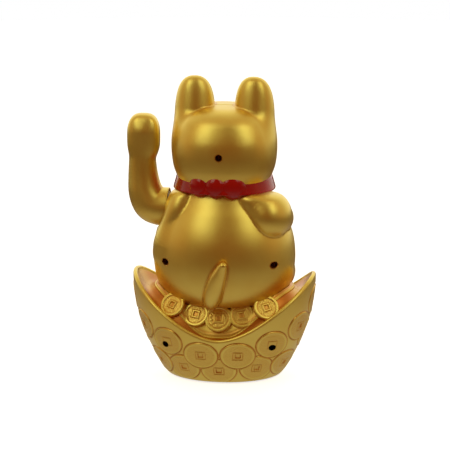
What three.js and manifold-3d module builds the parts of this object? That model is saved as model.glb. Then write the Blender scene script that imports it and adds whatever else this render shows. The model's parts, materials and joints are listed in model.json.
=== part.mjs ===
// A battery-driven beckoning cat sitting on a gold ingot.
// Millimetres. +Z is up and the table is z = 0, under the middle of the ingot. The cat faces -Y and its
// waving left arm is on +X. The front and rear mouldings of the cat and of the ingot meet at y = 0.
import * as THREE from "three";
import { mergeVertices } from "three/addons/utils/BufferGeometryUtils.js";
import Module from "manifold-3d";

// ---- Driving dimensions ----
const FOOT_HEIGHT = 1; // rubber pads under the ingot
const WALL = 2.4; // moulded wall thickness
const SEAM = 0.15; // half the gap between front and rear mouldings
const CLEAR = 0.35; // gap between pieces that sit in one another

const TORSO_DEPTH = 0.88; // depth over width of the torso
const HEAD_DEPTH = 0.92;
const TORSO_OUTLINE = [
  [30, 50.4],
  [38, 53.5],
  [42.5, 58.5],
  [45.4, 67],
  [46.3, 80],
  [45.2, 93],
  [38.5, 111],
  [28, 127],
]; // half-width, height
const HEAD_OUTLINE = [[28, 127], [31.5, 133], [34.2, 142], [34.6, 152], [33, 164], [28, 173.5], [18, 179]];
const HEAD_CAVITY = [[23.5, 134], [28, 138], [31.6, 146], [31.8, 156], [29, 166], [20, 174.5]];
const NECK = { outer: 28.7, inner: 24.5 }; // half-widths under the collar
const HEAD_TOP = 181;
const FLOOR = 50.4; // underside of the cat
const FLOOR_OPENING = { x: 24, y: 15 };

const PIVOT = { y: 0, z: 111 }; // axis of the waving arm, along X
const ROOT_RADIUS = 13; // round root of the arm, where it enters the body
const ROOT_START = 36.5;
const SHAFT = { radius: 1.5, from: -12, to: 40 };

const BOTTOM = FOOT_HEIGHT; // underside of the ingot
const FOOT = { x: 38, y: 30 }; // half-axes of the ingot at its underside
const FLARE = { x: 22, y: 18, top: 66 }; // how far the wall leans out by the height of the tips
const RIM = { low: 31.5, lift: 38, power: 1.8 }; // saddle-shaped rim
const LEDGE = { x: 46, y: 37, low: 32.8, lift: 30, power: 2.3 }; // edge of the coin mound inside the rim
const MOUND = { top: 50, flat: 0.72, foot: 0.93, footZ: 35 };
const COIN = { radius: 8, thick: 2, lean: 62, angles: [-46, -23, 0, 23, 46] };
const COIN_RING = { x: 36.5, y: 30, z: 44, lift: 13 };

const SEAT = 0.05; // gap under a piece that rests on another
const SCREW = { head: 1.95, headHeight: 1.4, shank: 0.95 };
const HOLE = 2.2; // radius of the visible screw holes
const BOSS = 3.5;
// name, x, z and how far behind the seam the head sits
const CAT_SCREWS = [
  ["shell_screw_head", 0, 151.4, 14],
  ["shell_screw_left", 35.4, 80.4, 9],
  ["shell_screw_right", -35.4, 80.4, 9],
];
const INGOT_SCREWS = [
  ["ingot_screw_left", 35, 26, 11],
  ["ingot_screw_right", -35, 26, 11],
];

const CELL = { radius: 7.25, length: 49, nub: 2.75, nubLength: 1.3, z: 10.8 };
const BAY = { x: 28, y: 7.9, roof: 18.6, wall: 1.6 }; // battery bay, open underneath
const PLATE = { x: 34.8, y: 26.8, thick: 2 };
const DOOR = { thick: 1.6, hinge: -26.2, end: 27.7, pin: 0.6 };
const POSTS = [[12, 19], [-12, 19], [12, -19], [-12, -19]]; // base screws
const PADS = [[21, 16.5], [-21, 16.5], [21, -16.5], [-21, -16.5]];
const SWITCH_Y = -17;

// ---- Materials ----
const paint = (color, roughness, metalness) =>
  new THREE.MeshStandardMaterial({ color, roughness, metalness });
const GOLD = paint(0xc89a3a, 0.34, 1);
const RED = paint(0x9c0d0a, 0.18, 0);
const BELL_GOLD = paint(0xe0b23c, 0.2, 1);
const BLACK_PLASTIC = paint(0x1c1c1e, 0.5, 0);
const WHITE_PLASTIC = paint(0xe8e6df, 0.45, 0);
const STEEL = paint(0xb4b7bb, 0.3, 1);
const MAGNET = paint(0x4c4d50, 0.45, 1);
const COPPER = paint(0xb4602c, 0.3, 1);
const BOARD = paint(0x1f6b3a, 0.5, 0);
const CELL_WRAP = paint(0x2f5d9c, 0.35, 0);
const RUBBER = paint(0x202020, 0.9, 0);
const RED_WIRE = paint(0xc01818, 0.45, 0);

// ---- Solids ----
const wasm = await Module();
wasm.setup();

// A closed geometry as a solid with its faces pointing out.
function solid(geometry) {
  const bare = geometry.clone();
  bare.deleteAttribute("normal");
  bare.deleteAttribute("uv");
  const merged = mergeVertices(bare, 1e-4);
  const corners = [];
  for (let i = 0; i < merged.index.count; i += 3) {
    const [a, b, c] = [0, 1, 2].map((k) => merged.index.getX(i + k));
    if (a !== b && b !== c && c !== a) corners.push(a, b, c);
  }
  const build = () =>
    new wasm.Manifold(
      new wasm.Mesh({
        numProp: 3,
        vertProperties: merged.attributes.position.array,
        triVerts: new Uint32Array(corners),
      }),
    );
  const made = build();
  if (made.volume() > 0) return made;
  corners.reverse();
  return build();
}

function geometryOf(manifold) {
  const mesh = manifold.getMesh();
  const geometry = new THREE.BufferGeometry();
  geometry.setAttribute("position", new THREE.BufferAttribute(mesh.vertProperties, 3));
  geometry.setIndex(new THREE.BufferAttribute(mesh.triVerts, 1));
  geometry.computeVertexNormals();
  return geometry;
}

const union = (...solids) => solids.reduce((sum, next) => sum.add(next));

function box(x0, x1, y0, y1, z0, z1) {
  const geometry = new THREE.BoxGeometry(x1 - x0, y1 - y0, z1 - z0);
  return solid(geometry.translate((x0 + x1) / 2, (y0 + y1) / 2, (z0 + z1) / 2));
}

// An ellipsoid, turned about its own vertical axis.
function ball(x, y, z, rx, ry, rz, yaw = 0, sides = 18) {
  const geometry = new THREE.SphereGeometry(1, sides, Math.round(sides * 0.55));
  geometry.rotateX(Math.PI / 2).scale(rx, ry, rz).rotateZ(yaw);
  return solid(geometry.translate(x, y, z));
}

// Cylinders along Z, Y and X. The scale makes the round of a Z cylinder an ellipse.
function postZ(x, y, z0, z1, radius, sides = 16, scaleY = 1) {
  const geometry = new THREE.CylinderGeometry(radius, radius, z1 - z0, sides).rotateX(Math.PI / 2);
  return solid(geometry.scale(1, scaleY, 1).translate(x, y, (z0 + z1) / 2));
}
function postY(x, z, y0, y1, radius, sides = 16) {
  const geometry = new THREE.CylinderGeometry(radius, radius, y1 - y0, sides);
  return solid(geometry.translate(x, (y0 + y1) / 2, z));
}
function postX(y, z, x0, x1, radius, sides = 20) {
  const geometry = new THREE.CylinderGeometry(radius, radius, x1 - x0, sides).rotateZ(Math.PI / 2);
  return solid(geometry.translate((x0 + x1) / 2, y, z));
}

// A stout link between two points, with round ends.
function limb(from, to, radius, sides = 14) {
  const a = new THREE.Vector3(...from);
  const b = new THREE.Vector3(...to);
  const geometry = new THREE.CapsuleGeometry(radius, a.distanceTo(b), 4, sides, 1);
  const turn = new THREE.Quaternion().setFromUnitVectors(
    new THREE.Vector3(0, 1, 0),
    b.clone().sub(a).normalize(),
  );
  geometry.applyQuaternion(turn);
  return solid(geometry.translate(...a.add(b).multiplyScalar(0.5).toArray()));
}

// A round tube of changing radius along a curve, with flat ends.
function tube(curve, radiusAt, sides, steps) {
  const geometry = new THREE.CylinderGeometry(1, 1, 1, sides, steps);
  const frames = curve.computeFrenetFrames(steps, false);
  const at = geometry.attributes.position;
  for (let i = 0; i < at.count; i++) {
    const u = at.getY(i) + 0.5;
    const step = Math.round(u * steps);
    const reach = radiusAt(u);
    const point = curve.getPointAt(u);
    point.addScaledVector(frames.normals[step], reach * at.getX(i));
    point.addScaledVector(frames.binormals[step], reach * at.getZ(i));
    at.setXYZ(i, point.x, point.y, point.z);
  }
  return solid(geometry);
}

// A turned body whose outline runs smoothly through (half-width, height) points and closes on its axis.
function turned(outline, top, grow, depth, sides, samples) {
  const grown = outline.map(([r, z]) => new THREE.Vector2(r + grow, z));
  const smooth = new THREE.SplineCurve(grown).getPoints(samples);
  const bottom = outline[0][1] - grow;
  smooth[0].y = bottom;
  const profile = [new THREE.Vector2(0, bottom), ...smooth, new THREE.Vector2(0, top + grow)];
  return solid(new THREE.LatheGeometry(profile, sides).rotateX(Math.PI / 2).scale(1, depth, 1));
}

// A lathe whose points are placed by a list of functions of the turn angle. At angle 0 they lie on +Y.
function swept(places, sides, onAxis) {
  const closed = onAxis ? places : [...places, places[0]];
  const pole = (j) => onAxis && (j === 0 || j === closed.length - 1);
  const profile = closed.map((_, j) => new THREE.Vector2(pole(j) ? 0 : 1, j));
  const geometry = new THREE.LatheGeometry(profile, sides);
  const at = geometry.attributes.position;
  const uv = geometry.attributes.uv;
  for (let i = 0; i < at.count; i++) {
    const turn = (Math.round(uv.getX(i) * sides) % sides) * ((2 * Math.PI) / sides);
    const point = closed[Math.round(uv.getY(i) * (closed.length - 1))](turn);
    at.setXYZ(i, point.x, point.y, point.z);
  }
  return solid(geometry);
}

// ---- The assembly ----
const part = new THREE.Group();
function add(name, piece, material) {
  const mesh = new THREE.Mesh(geometryOf(piece), material);
  mesh.name = name;
  part.add(mesh);
}

// A pan-head screw drawn along +Z, with the underside of its head at 0.
function screw(length) {
  const { head, headHeight, shank } = SCREW;
  const profile = [
    [0, headHeight],
    [head * 0.6, headHeight],
    [head, headHeight * 0.5],
    [head, 0],
    [shank, 0],
    [shank, 1 - length],
    [0, -length],
  ];
  const points = profile.map(([r, z]) => new THREE.Vector2(r, z));
  return solid(new THREE.LatheGeometry(points, 10).rotateX(Math.PI / 2));
}
const slot = box(-1.1, 1.1, -0.25, 0.25, SCREW.headHeight - 0.6, SCREW.headHeight + 1);
const crossScrew = (length) => screw(length).subtract(slot.add(slot.rotate([0, 0, 90])));

// ---- Collar, bell and coin ----
function collar(grow) {
  const band = [[28.7, 126.6], [32.2, 126.2], [33, 127.6], [32, 133], [30.8, 134.2], [28.7, 133.6]];
  const middle = { r: 30.8, z: 130 };
  const profile = band.map(([r, z]) => {
    const out = new THREE.Vector2(r - middle.r, z - middle.z);
    out.addScaledVector(out.clone().normalize(), grow);
    return new THREE.Vector2(middle.r + out.x, middle.z + out.y);
  });
  profile.push(profile[0].clone());
  const ring = solid(new THREE.LatheGeometry(profile, 32).rotateX(Math.PI / 2).scale(1, HEAD_DEPTH, 1));
  const gathers = [13.6, 2.6, -8.6].map((x) =>
    ball(x, 26.6 - x * x * 0.012, 130.6, 6.6 + grow, 4.6 + grow, 6.9 + grow, 0, 12),
  );
  const neck = postZ(0, 0, 110, 150, NECK.outer - grow, 32, HEAD_DEPTH);
  return union(ring, union(...gathers).subtract(neck));
}
const BELL = { y: -36.2, z: 121.5, radius: 6 };
const bellPeg = postY(0, 129, -33.6, -28.2, 1, 10);
const bellLoop = postZ(0, -33, 124, 129.6, 1.1, 10);
const bellBall = ball(0, BELL.y, BELL.z, BELL.radius, BELL.radius, BELL.radius, 0, 14);
const bellSlot = box(-0.6, 0.6, BELL.y - 7, BELL.y + 7, BELL.z - 7, BELL.z - 3.6);
add("bell", union(bellBall, bellLoop, bellPeg).subtract(bellSlot), BELL_GOLD);
const bellHole = postY(0, 129, -40, -24, 1 + CLEAR, 10);
add("collar", collar(0).subtract(bellHole).subtract(postZ(0, -33, 118, 140, 1.1 + CLEAR, 10)), RED);

const KOBAN = { x: -6, z: 82, halfWidth: 11, halfHeight: 15.5, back: -41.2, thick: 2.6 };
function koban() {
  const { x, z, halfWidth, halfHeight, back, thick } = KOBAN;
  const disc = (inset, y0, y1) => {
    const geometry = new THREE.CylinderGeometry(1, 1, y1 - y0, 24);
    geometry.scale(halfWidth - inset, 1, halfHeight - inset);
    return solid(geometry.translate(x, (y0 + y1) / 2, z));
  };
  const dish = disc(1.6, back - thick - 1, back - thick + 0.7);
  return union(disc(0, back - thick, back).subtract(dish), postY(x, z, back - 1, back + 6, 2, 12));
}
add("koban_coin", koban(), GOLD);

// ---- Cat shells ----
// The bent right arm, which holds the coin.
const arm = {
  shoulder: [-21.5, 16, 120.5],
  top: [-31, 13, 110],
  bend: [-34, 1, 106],
  wrist: [-31, -18, 105],
  paw: [-13, -35, 105],
};
const ear = (side) => {
  const body = ball(side * 20, 3.2, 171, 14.9, 12.6, 29, side * 0.26, 18);
  const dish = ball(side * 21.6, -10.4, 180, 9.2, 8.5, 15.5, side * 0.34, 12);
  return body.subtract(dish);
};
const earHollow = (side) => ball(side * 19.6, 6.2, 167, 11.4, 7.2, 26, side * 0.26, 12);
const thigh = (side, grow) => ball(side * 30, -15, 66, 15 + grow, 19 + grow, 14.5 + grow, 0, 14);
const head = turned(HEAD_OUTLINE, HEAD_TOP, 0, HEAD_DEPTH, 32, 10);
const torso = turned(TORSO_OUTLINE, 134, 0, TORSO_DEPTH, 32, 11);
const catOuter = union(
  torso,
  head,
  ear(1),
  ear(-1),
  ball(0, -29, 147, 13, 8, 9, 0, 14), // muzzle
  ball(28.4, 13.4, 114.6, 10, 15.4, 15.2, 0, 16), // left shoulder, over the root of the waving arm
  limb([20, 14, 123], [28, 13, 114], 8.6, 12),
  limb([29.5, 11, 110], [33.4, 9, 96], 7.6, 12),
  limb(arm.shoulder, arm.top, 10.4, 12),
  ball(-31, 13.5, 110.8, 13.4, 17.6, 15.4, 0, 16),
  limb(arm.bend, arm.wrist, 9.6, 12),
  limb(arm.wrist, arm.paw, 8.5, 12),
  ...[1, -1].map((side) => thigh(side, 0)),
  ball(21, -35, 58, 8.5, 11, 7, 0, 12), // left hind paw
  ball(-21, -35, 58, 8.5, 11, 7, 0, 12),
  limb([3.5, 34, 60], [-4.4, 41, 78.5], 4.2, 10), // tail
  ball(3.8, 33.5, 60.5, 5.7, 7, 8, 0, 10),
);
const catInner = union(
  turned(TORSO_OUTLINE, 140, -WALL, TORSO_DEPTH, 24, 8),
  turned(HEAD_CAVITY, HEAD_TOP - WALL, 0, HEAD_DEPTH, 24, 6),
  postZ(0, 0, 118, 142, NECK.inner, 24, HEAD_DEPTH),
  earHollow(1),
  earHollow(-1),
);
// The arm's root turns in a round socket, and its hub passes through the socket's floor.
const SOCKET = { floor: 33.4, thick: 2.2, hub: 5 };
const socketFloor = postX(PIVOT.y, PIVOT.z, SOCKET.floor - SOCKET.thick, SOCKET.floor, ROOT_RADIUS + 4, 28);
const catOpenings = union(
  postZ(0, 0, FLOOR - 2, FLOOR + WALL + 3, FLOOR_OPENING.x, 24, FLOOR_OPENING.y / FLOOR_OPENING.x),
  postX(PIVOT.y, PIVOT.z, SOCKET.floor, 60, ROOT_RADIUS + 0.6, 28),
  postX(PIVOT.y, PIVOT.z, 20, 60, SOCKET.hub, 16),
  collar(CLEAR),
  bellHole,
  postY(KOBAN.x, KOBAN.z, KOBAN.back - 3, KOBAN.back + 12, 2 + CLEAR, 12),
);
// The cat's fixing screws stand clear of the pendulum, one behind the axis and one before it.
const CAT_FIXINGS = { rear: [20, 15], front: [-20, -15] };
const floorBoss = ([x, y]) => postZ(x, y, FLOOR + 0.5, FLOOR + 11, BOSS, 14);
const floorBore = ([x, y]) => postZ(x, y, FLOOR - 1, FLOOR + 9.5, 1.2, 10);

// The rear tube seats the screw's head and the front post takes its thread.
function rearTubes(list) {
  return union(...list.map(([, x, z]) => postY(x, z, SEAM, 45, BOSS)));
}
function rearBores(list) {
  const counterbores = list.map(([, x, z, seat]) => postY(x, z, seat, 60, HOLE));
  return union(...counterbores, ...list.map(([, x, z]) => postY(x, z, -1, 60, 1.3, 12)));
}
function frontPosts(list) {
  return union(...list.map(([, x, z]) => postY(x, z, -45, -SEAM, BOSS)));
}
function frontBores(list) {
  return union(...list.map(([, x, z]) => postY(x, z, -9, 1, 1.15, 12)));
}
const rearHalf = box(-90, 90, SEAM, 90, -10, 230);
const frontHalf = box(-90, 90, -90, -SEAM, -10, 230);

const catSkin = catOuter.subtract(catInner);
function catHalf(half, posts, bores, fixing) {
  const inside = union(posts, floorBoss(fixing), socketFloor).intersect(catOuter);
  return catSkin.add(inside).subtract(union(bores, catOpenings, floorBore(fixing))).intersect(half);
}
const rearCat = catHalf(rearHalf, rearTubes(CAT_SCREWS), rearBores(CAT_SCREWS), CAT_FIXINGS.rear);
const frontCat = catHalf(frontHalf, frontPosts(CAT_SCREWS), frontBores(CAT_SCREWS), CAT_FIXINGS.front);
add("body_rear_shell", rearCat, GOLD);
add("body_front_shell", frontCat, GOLD);
for (const [name, x, z, seat] of [...CAT_SCREWS, ...INGOT_SCREWS])
  add(name, crossScrew(seat + 7).rotate([-90, 0, 0]).translate([x, seat + SEAT, z]), STEEL);

// ---- Waving arm and its pendulum ----
const armPath = new THREE.CatmullRomCurve3(
  [
    [ROOT_START, 0, 111],
    [42.5, 0, 111.3],
    [48.6, 0, 114.4],
    [52.4, 0, 122],
    [53.6, 0, 135],
    [54.2, 0.5, 150],
    [53.8, 0, 165],
  ].map((p) => new THREE.Vector3(...p)),
);
const armWidth = new THREE.SplineCurve(
  [
    [0, ROOT_RADIUS],
    [0.1, 12.9],
    [0.24, 12.2],
    [0.37, 11.2],
    [0.55, 9.8],
    [0.76, 8.9],
    [1, 9.6],
  ].map((p) => new THREE.Vector2(...p)),
);
const armRadius = (u) => armWidth.getPoint(u).y;
const armOuter = union(tube(armPath, armRadius, 20, 12), ball(53.6, -1.5, 164.6, 10.7, 11.6, 11.4, 0, 20));
const armInner = union(
  tube(armPath, (u) => armRadius(u) - 1.9, 16, 9),
  postX(PIVOT.y, PIVOT.z, ROOT_START - 5, ROOT_START + 3, ROOT_RADIUS - 1.9, 16),
);
add("waving_arm", armOuter.subtract(armInner), GOLD);

const PLUG = { from: ROOT_START + 0.4, to: ROOT_START + 3 };
const shaftBore = (x0, x1, gap) => postX(PIVOT.y, PIVOT.z, x0, x1, SHAFT.radius + gap, 20);
add(
  "arm_root_plug",
  postX(PIVOT.y, PIVOT.z, PLUG.from, PLUG.to, ROOT_RADIUS - 2.6, 20)
    .add(postX(PIVOT.y, PIVOT.z, PLUG.from - 5, PLUG.to, 4.2, 16))
    .subtract(shaftBore(PLUG.from - 6, PLUG.to + 1, 0.1)),
  WHITE_PLASTIC,
);
add("pivot_shaft", postX(PIVOT.y, PIVOT.z, SHAFT.from, SHAFT.to, SHAFT.radius, 20), STEEL);

const LEVER = { half: 2, width: 5, bottom: 62 };
const MAGNET_SIZE = { radius: 6, z0: 54.6, z1: 58.6 };
const WEIGHT = { x: 5, y: 5.5, z0: 72, z1: 82 };
const lever = union(
  postX(PIVOT.y, PIVOT.z, -4, 4, 5, 20),
  box(-LEVER.half, LEVER.half, -LEVER.width / 2, LEVER.width / 2, LEVER.bottom, PIVOT.z - 2),
  postZ(0, 0, MAGNET_SIZE.z0 + 0.6, MAGNET_SIZE.z1 + 5, MAGNET_SIZE.radius + 1.4, 20),
).subtract(
  union(
    shaftBore(-5, 5, 0.1),
    postZ(0, 0, MAGNET_SIZE.z0 - 1, MAGNET_SIZE.z1 + SEAT, MAGNET_SIZE.radius + 0.1, 20),
  ),
);
add("pendulum_lever", lever, WHITE_PLASTIC);
add("drive_magnet", postZ(0, 0, MAGNET_SIZE.z0, MAGNET_SIZE.z1, MAGNET_SIZE.radius, 20), MAGNET);
// The steel weight is pressed round the lever and outweighs the arm.
const press = { x: LEVER.half + SEAT, y: LEVER.width / 2 + SEAT };
add(
  "counterweight",
  box(-WEIGHT.x, WEIGHT.x, -WEIGHT.y, WEIGHT.y, WEIGHT.z0, WEIGHT.z1).subtract(
    box(-press.x, press.x, -press.y, press.y, WEIGHT.z0 - 1, WEIGHT.z1 + 1),
  ),
  STEEL,
);

const BRACKET = { inner: 9, thick: 2.5, halfY: 6, z0: MOUND.top + SEAT, foot: 2, footX: 20 };
const upright = (x0) =>
  union(
    box(x0, x0 + BRACKET.thick, -BRACKET.halfY, BRACKET.halfY, BRACKET.z0, PIVOT.z),
    postX(PIVOT.y, PIVOT.z, x0, x0 + BRACKET.thick, BRACKET.halfY, 20),
  );
const BRACKET_SCREWS = [["bracket_screw_left", 16], ["bracket_screw_right", -16]];
add(
  "pivot_bracket",
  union(
    upright(BRACKET.inner),
    upright(-BRACKET.inner - BRACKET.thick),
    box(-BRACKET.footX, BRACKET.footX, -7, 7, BRACKET.z0, BRACKET.z0 + BRACKET.foot),
  ).subtract(
    union(
      shaftBore(-30, 30, 0.1),
      ...BRACKET_SCREWS.map(([, x]) => postZ(x, 0, BRACKET.z0 - 1, BRACKET.z0 + 4, 1.2, 12)),
    ),
  ),
  WHITE_PLASTIC,
);
for (const [name, x] of BRACKET_SCREWS)
  add(name, screw(8).translate([x, 0, BRACKET.z0 + BRACKET.foot + SEAT]), STEEL);

// ---- Ingot ----
const flare = (z) => 1 - (1 - Math.min((z - BOTTOM) / FLARE.top, 1)) ** 2;
const saddle = ({ low, lift, power }, t) => low + lift * Math.abs(Math.sin(t)) ** power;
const ellipse = (x, y, t, z) => new THREE.Vector3(x * Math.sin(t), y * Math.cos(t), z);
const wallAt = (z, t, inset = 0) =>
  ellipse(FOOT.x + FLARE.x * flare(z) - inset, FOOT.y + FLARE.y * flare(z) - inset, t, z);
const rimAt = (t, drop, inset) => wallAt(saddle(RIM, t) - drop, t, inset);
const ledgeAt = (t, drop, inset) => ellipse(LEDGE.x - inset, LEDGE.y - inset, t, saddle(LEDGE, t) - drop);
const between = (a, b, share) => a.lerp(b, share);

const wallShares = [0, 0.25, 0.5, 0.75, 1];
const outerWall = wallShares.map((v) => (t) => {
  const top = saddle(RIM, t) - 1.6;
  return wallAt(BOTTOM + v * (top - BOTTOM), t);
});
const moundSlope = (t) => 6 + 58 * Math.sin(t) ** 2; // rise from the middle of the mound to its edge
const LEDGE_WIDTH = 4;
const ledgeInner = (t, drop) => ledgeAt(t, drop + (moundSlope(t) * LEDGE_WIDTH) / LEDGE.x, LEDGE_WIDTH);
const rimBack = (t) => rimAt(t, 0.5, 2.5);
const ledgeBack = (t) => ledgeAt(t, 2, -0.5);
const lip = (t) => between(rimBack(t), ledgeBack(t), 0.55).add(new THREE.Vector3(0, 0, -1));
// The base plate is clamped against a flange inside the wall.
const FLANGE = { z: BOTTOM + PLATE.thick + SEAT, thick: 1.6, reach: 2.4 };
const insideWall = (share) => (t) => {
  const from = FLANGE.z + FLANGE.thick;
  return wallAt(from + share * (saddle(RIM, t) - 7 - from), t, WALL);
};
const ingotRing = swept(
  [
    ...outerWall,
    (t) => rimAt(t, 0.5, 0.3),
    (t) => rimAt(t, 0, 1.4),
    rimBack,
    lip,
    ledgeBack,
    (t) => ledgeInner(t, 2),
    (t) => ledgeInner(t, 4.4),
    insideWall(1),
    insideWall(0.5),
    insideWall(0),
    (t) => wallAt(FLANGE.z + FLANGE.thick, t, WALL + FLANGE.reach),
    (t) => wallAt(FLANGE.z, t, WALL + FLANGE.reach),
    (t) => wallAt(FLANGE.z, t, WALL),
    (t) => wallAt(BOTTOM, t, WALL),
  ],
  44,
  false,
);
const ingotFilled = swept(
  [(t) => ellipse(0, 0, t, BOTTOM), ...outerWall, (t) => ellipse(0, 0, t, 34)],
  32,
  true,
);
const catGrown = union(
  turned(TORSO_OUTLINE, 100, CLEAR, TORSO_DEPTH, 32, 11),
  ...[1, -1].map((side) => thigh(side, CLEAR)),
  ...[21, -21].map((x) => ball(x, -35, 58, 8.9, 11.4, 7.4, 0, 12)),
);
const ingotHalf = (half, bosses, bores) =>
  union(ingotRing, bosses.intersect(ingotFilled)).subtract(union(bores, catGrown)).intersect(half);
add("ingot_rear_shell", ingotHalf(rearHalf, rearTubes(INGOT_SCREWS), rearBores(INGOT_SCREWS)), GOLD);
add("ingot_front_shell", ingotHalf(frontHalf, frontPosts(INGOT_SCREWS), frontBores(INGOT_SCREWS)), GOLD);

// ---- Coin mound, which carries the cat ----
function moundZ(share, t) {
  const fall = (MOUND.top - MOUND.footZ) / (MOUND.foot - MOUND.flat);
  const hill = MOUND.top - Math.max(share - MOUND.flat, 0) * fall;
  return Math.max(hill, saddle(LEDGE, t) - (1 - share) * moundSlope(t));
}
const shares = [MOUND.flat, 0.79, 0.86, MOUND.foot, 0.97];
const underside = (share) => (share > 0.88 ? 1.5 : 2.2);
const moundAt = (share, t, drop) => ellipse(LEDGE.x * share, LEDGE.y * share, t, moundZ(share, t) - drop);
const moundSkin = swept(
  [
    (t) => ellipse(0, 0, t, MOUND.top - 2.2),
    ...shares.map((s) => (t) => moundAt(s, t, underside(s))),
    (t) => ledgeAt(t, 1.5, 0),
    (t) => ledgeAt(t, 0, 0.2),
    ...shares.toReversed().map((s) => (t) => moundAt(s, t, 0)),
    (t) => ellipse(0, 0, t, MOUND.top),
  ],
  36,
  true,
);
function coin(angle, facing) {
  const t = (angle * Math.PI) / 180;
  const geometry = new THREE.CylinderGeometry(COIN.radius, COIN.radius, COIN.thick, 16).rotateX(Math.PI / 2);
  geometry.rotateX((-COIN.lean * Math.PI) / 180).rotateZ(-t);
  const height = COIN_RING.z + COIN_RING.lift * Math.sin(t) ** 2;
  geometry.translate(COIN_RING.x * Math.sin(t), COIN_RING.y * Math.cos(t), height);
  return solid(facing > 0 ? geometry : geometry.rotateZ(Math.PI));
}
const HEAD_RECESS = { radius: 2.3, depth: 1.6, wall: 1.4 };
const baseBossTop = BOTTOM + PLATE.thick + HEAD_RECESS.depth;
const moundPosts = POSTS.map(([x, y]) => postZ(x, y, baseBossTop + SEAT, MOUND.top - 1, 3.2, 12));
const bracketBosses = BRACKET_SCREWS.map(([, x]) => postZ(x, 0, 41, MOUND.top - 1, 3, 12));
const BOARD_POSTS = [12.6, -12.6];
const BOARD_Z = { low: 38.6, high: 40.2 };
const boardPosts = BOARD_POSTS.map((y) => postZ(0, y, BOARD_Z.high + SEAT, MOUND.top - 1, 2.2, 12));
add(
  "coin_mound",
  union(
    moundSkin,
    ...COIN.angles.flatMap((a) => [coin(a, 1), coin(a, -1)]),
    ...moundPosts,
    ...bracketBosses,
    ...boardPosts,
  ).subtract(
    union(
      catGrown,
      ...POSTS.map(([x, y]) => postZ(x, y, 0, 13, 1.15, 10)),
      ...BRACKET_SCREWS.map(([, x]) => postZ(x, 0, 42.5, 60, 1.15, 10)),
      ...BOARD_POSTS.map((y) => postZ(0, y, 39, 46.5, 1.15, 10)),
      ...Object.values(CAT_FIXINGS).map(([x, y]) => postZ(x, y, 40, 60, 1.3, 10)),
    ),
  ),
  GOLD,
);
const upward = (length, x, y, z) => screw(length).rotate([180, 0, 0]).translate([x, y, z - SEAT]);
for (const [name, spot] of Object.entries(CAT_FIXINGS))
  add(`cat_fixing_screw_${name}`, upward(8, ...spot, MOUND.top - 2.2), STEEL);

// ---- Base plate, battery bay and door ----
const plateTop = BOTTOM + PLATE.thick;
const bay = { x: BAY.x + BAY.wall, y: BAY.y + BAY.wall };
const bayOuter = box(-bay.x, bay.x, -bay.y, bay.y, BOTTOM, BAY.roof + BAY.wall);
const hingePin = (grow) =>
  postY(DOOR.hinge, BOTTOM + DOOR.thick / 2, -8.8 - grow, 8.8 + grow, DOOR.pin + grow, 10);
add(
  "base_plate",
  union(
    postZ(0, 0, BOTTOM, plateTop, PLATE.x, 36, PLATE.y / PLATE.x),
    bayOuter,
    ...POSTS.map(([x, y]) => postZ(x, y, BOTTOM, baseBossTop, HEAD_RECESS.radius + HEAD_RECESS.wall, 14)),
  ).subtract(
    union(
      box(-BAY.x, BAY.x, -BAY.y, BAY.y, BOTTOM - 1, BAY.roof),
      hingePin(0.15),
      box(25.5, 27.4, -1.7, 1.7, BAY.roof - 1, BAY.roof + 4), // contact tabs pass through the roof
      box(-28, -26.9, -1.7, 1.7, BAY.roof - 1, BAY.roof + 4),
      box(-3.8, 3.8, SWITCH_Y - 1.4, SWITCH_Y + 1.4, BOTTOM - 1, plateTop + 1),
      ...POSTS.map(([x, y]) => postZ(x, y, BOTTOM - 1, baseBossTop + 1, 1.2, 10)),
      ...POSTS.map(([x, y]) => postZ(x, y, BOTTOM - 1, BOTTOM + HEAD_RECESS.depth, HEAD_RECESS.radius, 14)),
    ),
  ),
  BLACK_PLASTIC,
);
for (const [i, [x, y]] of POSTS.entries())
  add(`base_screw_${i + 1}`, upward(9, x, y, BOTTOM + HEAD_RECESS.depth), STEEL);
for (const [i, [x, y]] of PADS.entries())
  add(`foot_pad_${i + 1}`, postZ(x, y, 0, BOTTOM, 3.2, 16), RUBBER);

const doorTop = BOTTOM + DOOR.thick;
const doorEnd = postY(DOOR.hinge, BOTTOM + DOOR.thick / 2, -7.6, 7.6, DOOR.thick / 2, 10);
add(
  "battery_door",
  union(
    box(DOOR.hinge, DOOR.end, -7.6, 7.6, BOTTOM, doorTop),
    doorEnd,
    hingePin(0),
    box(26.2, 27.1, -2.4, 2.4, doorTop - 0.2, doorTop + 3.6),
    box(26.9, 27.85, -2.4, 2.4, doorTop + 1.4, doorTop + 2.4),
  ).subtract(postY(20, BOTTOM - 3.2, -4, 4, 3.9, 20)), // finger grip
  BLACK_PLASTIC,
);

const cellEnd = -24.4 + CELL.length;
add(
  "battery_cell",
  union(
    postX(0, CELL.z, -24.4, cellEnd, CELL.radius, 28),
    postX(0, CELL.z, cellEnd - 0.5, cellEnd + CELL.nubLength, CELL.nub, 16),
  ),
  CELL_WRAP,
);
add(
  "battery_plate_contact",
  union(box(26.2, 26.8, -5, 5, 7, 15.5), box(26.2, 26.8, -1.2, 1.2, 15, BAY.roof + 5)),
  STEEL,
);
class Coil extends THREE.Curve {
  getPoint(u) {
    const turns = 2.5;
    const reach = 4.4 - 1.3 * u;
    const angle = turns * 2 * Math.PI * u;
    return new THREE.Vector3(-27.4 + 2.3 * u, reach * Math.cos(angle), CELL.z + reach * Math.sin(angle));
  }
}
const round = (radius, sides) =>
  new THREE.Shape(
    Array.from({ length: sides }, (_, i) => {
      const angle = (i * 2 * Math.PI) / sides;
      return new THREE.Vector2(radius * Math.cos(angle), radius * Math.sin(angle));
    }),
  );
const along = (path, radius, sides, steps) =>
  solid(new THREE.ExtrudeGeometry(round(radius, sides), { extrudePath: path, steps, bevelEnabled: false }));
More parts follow.
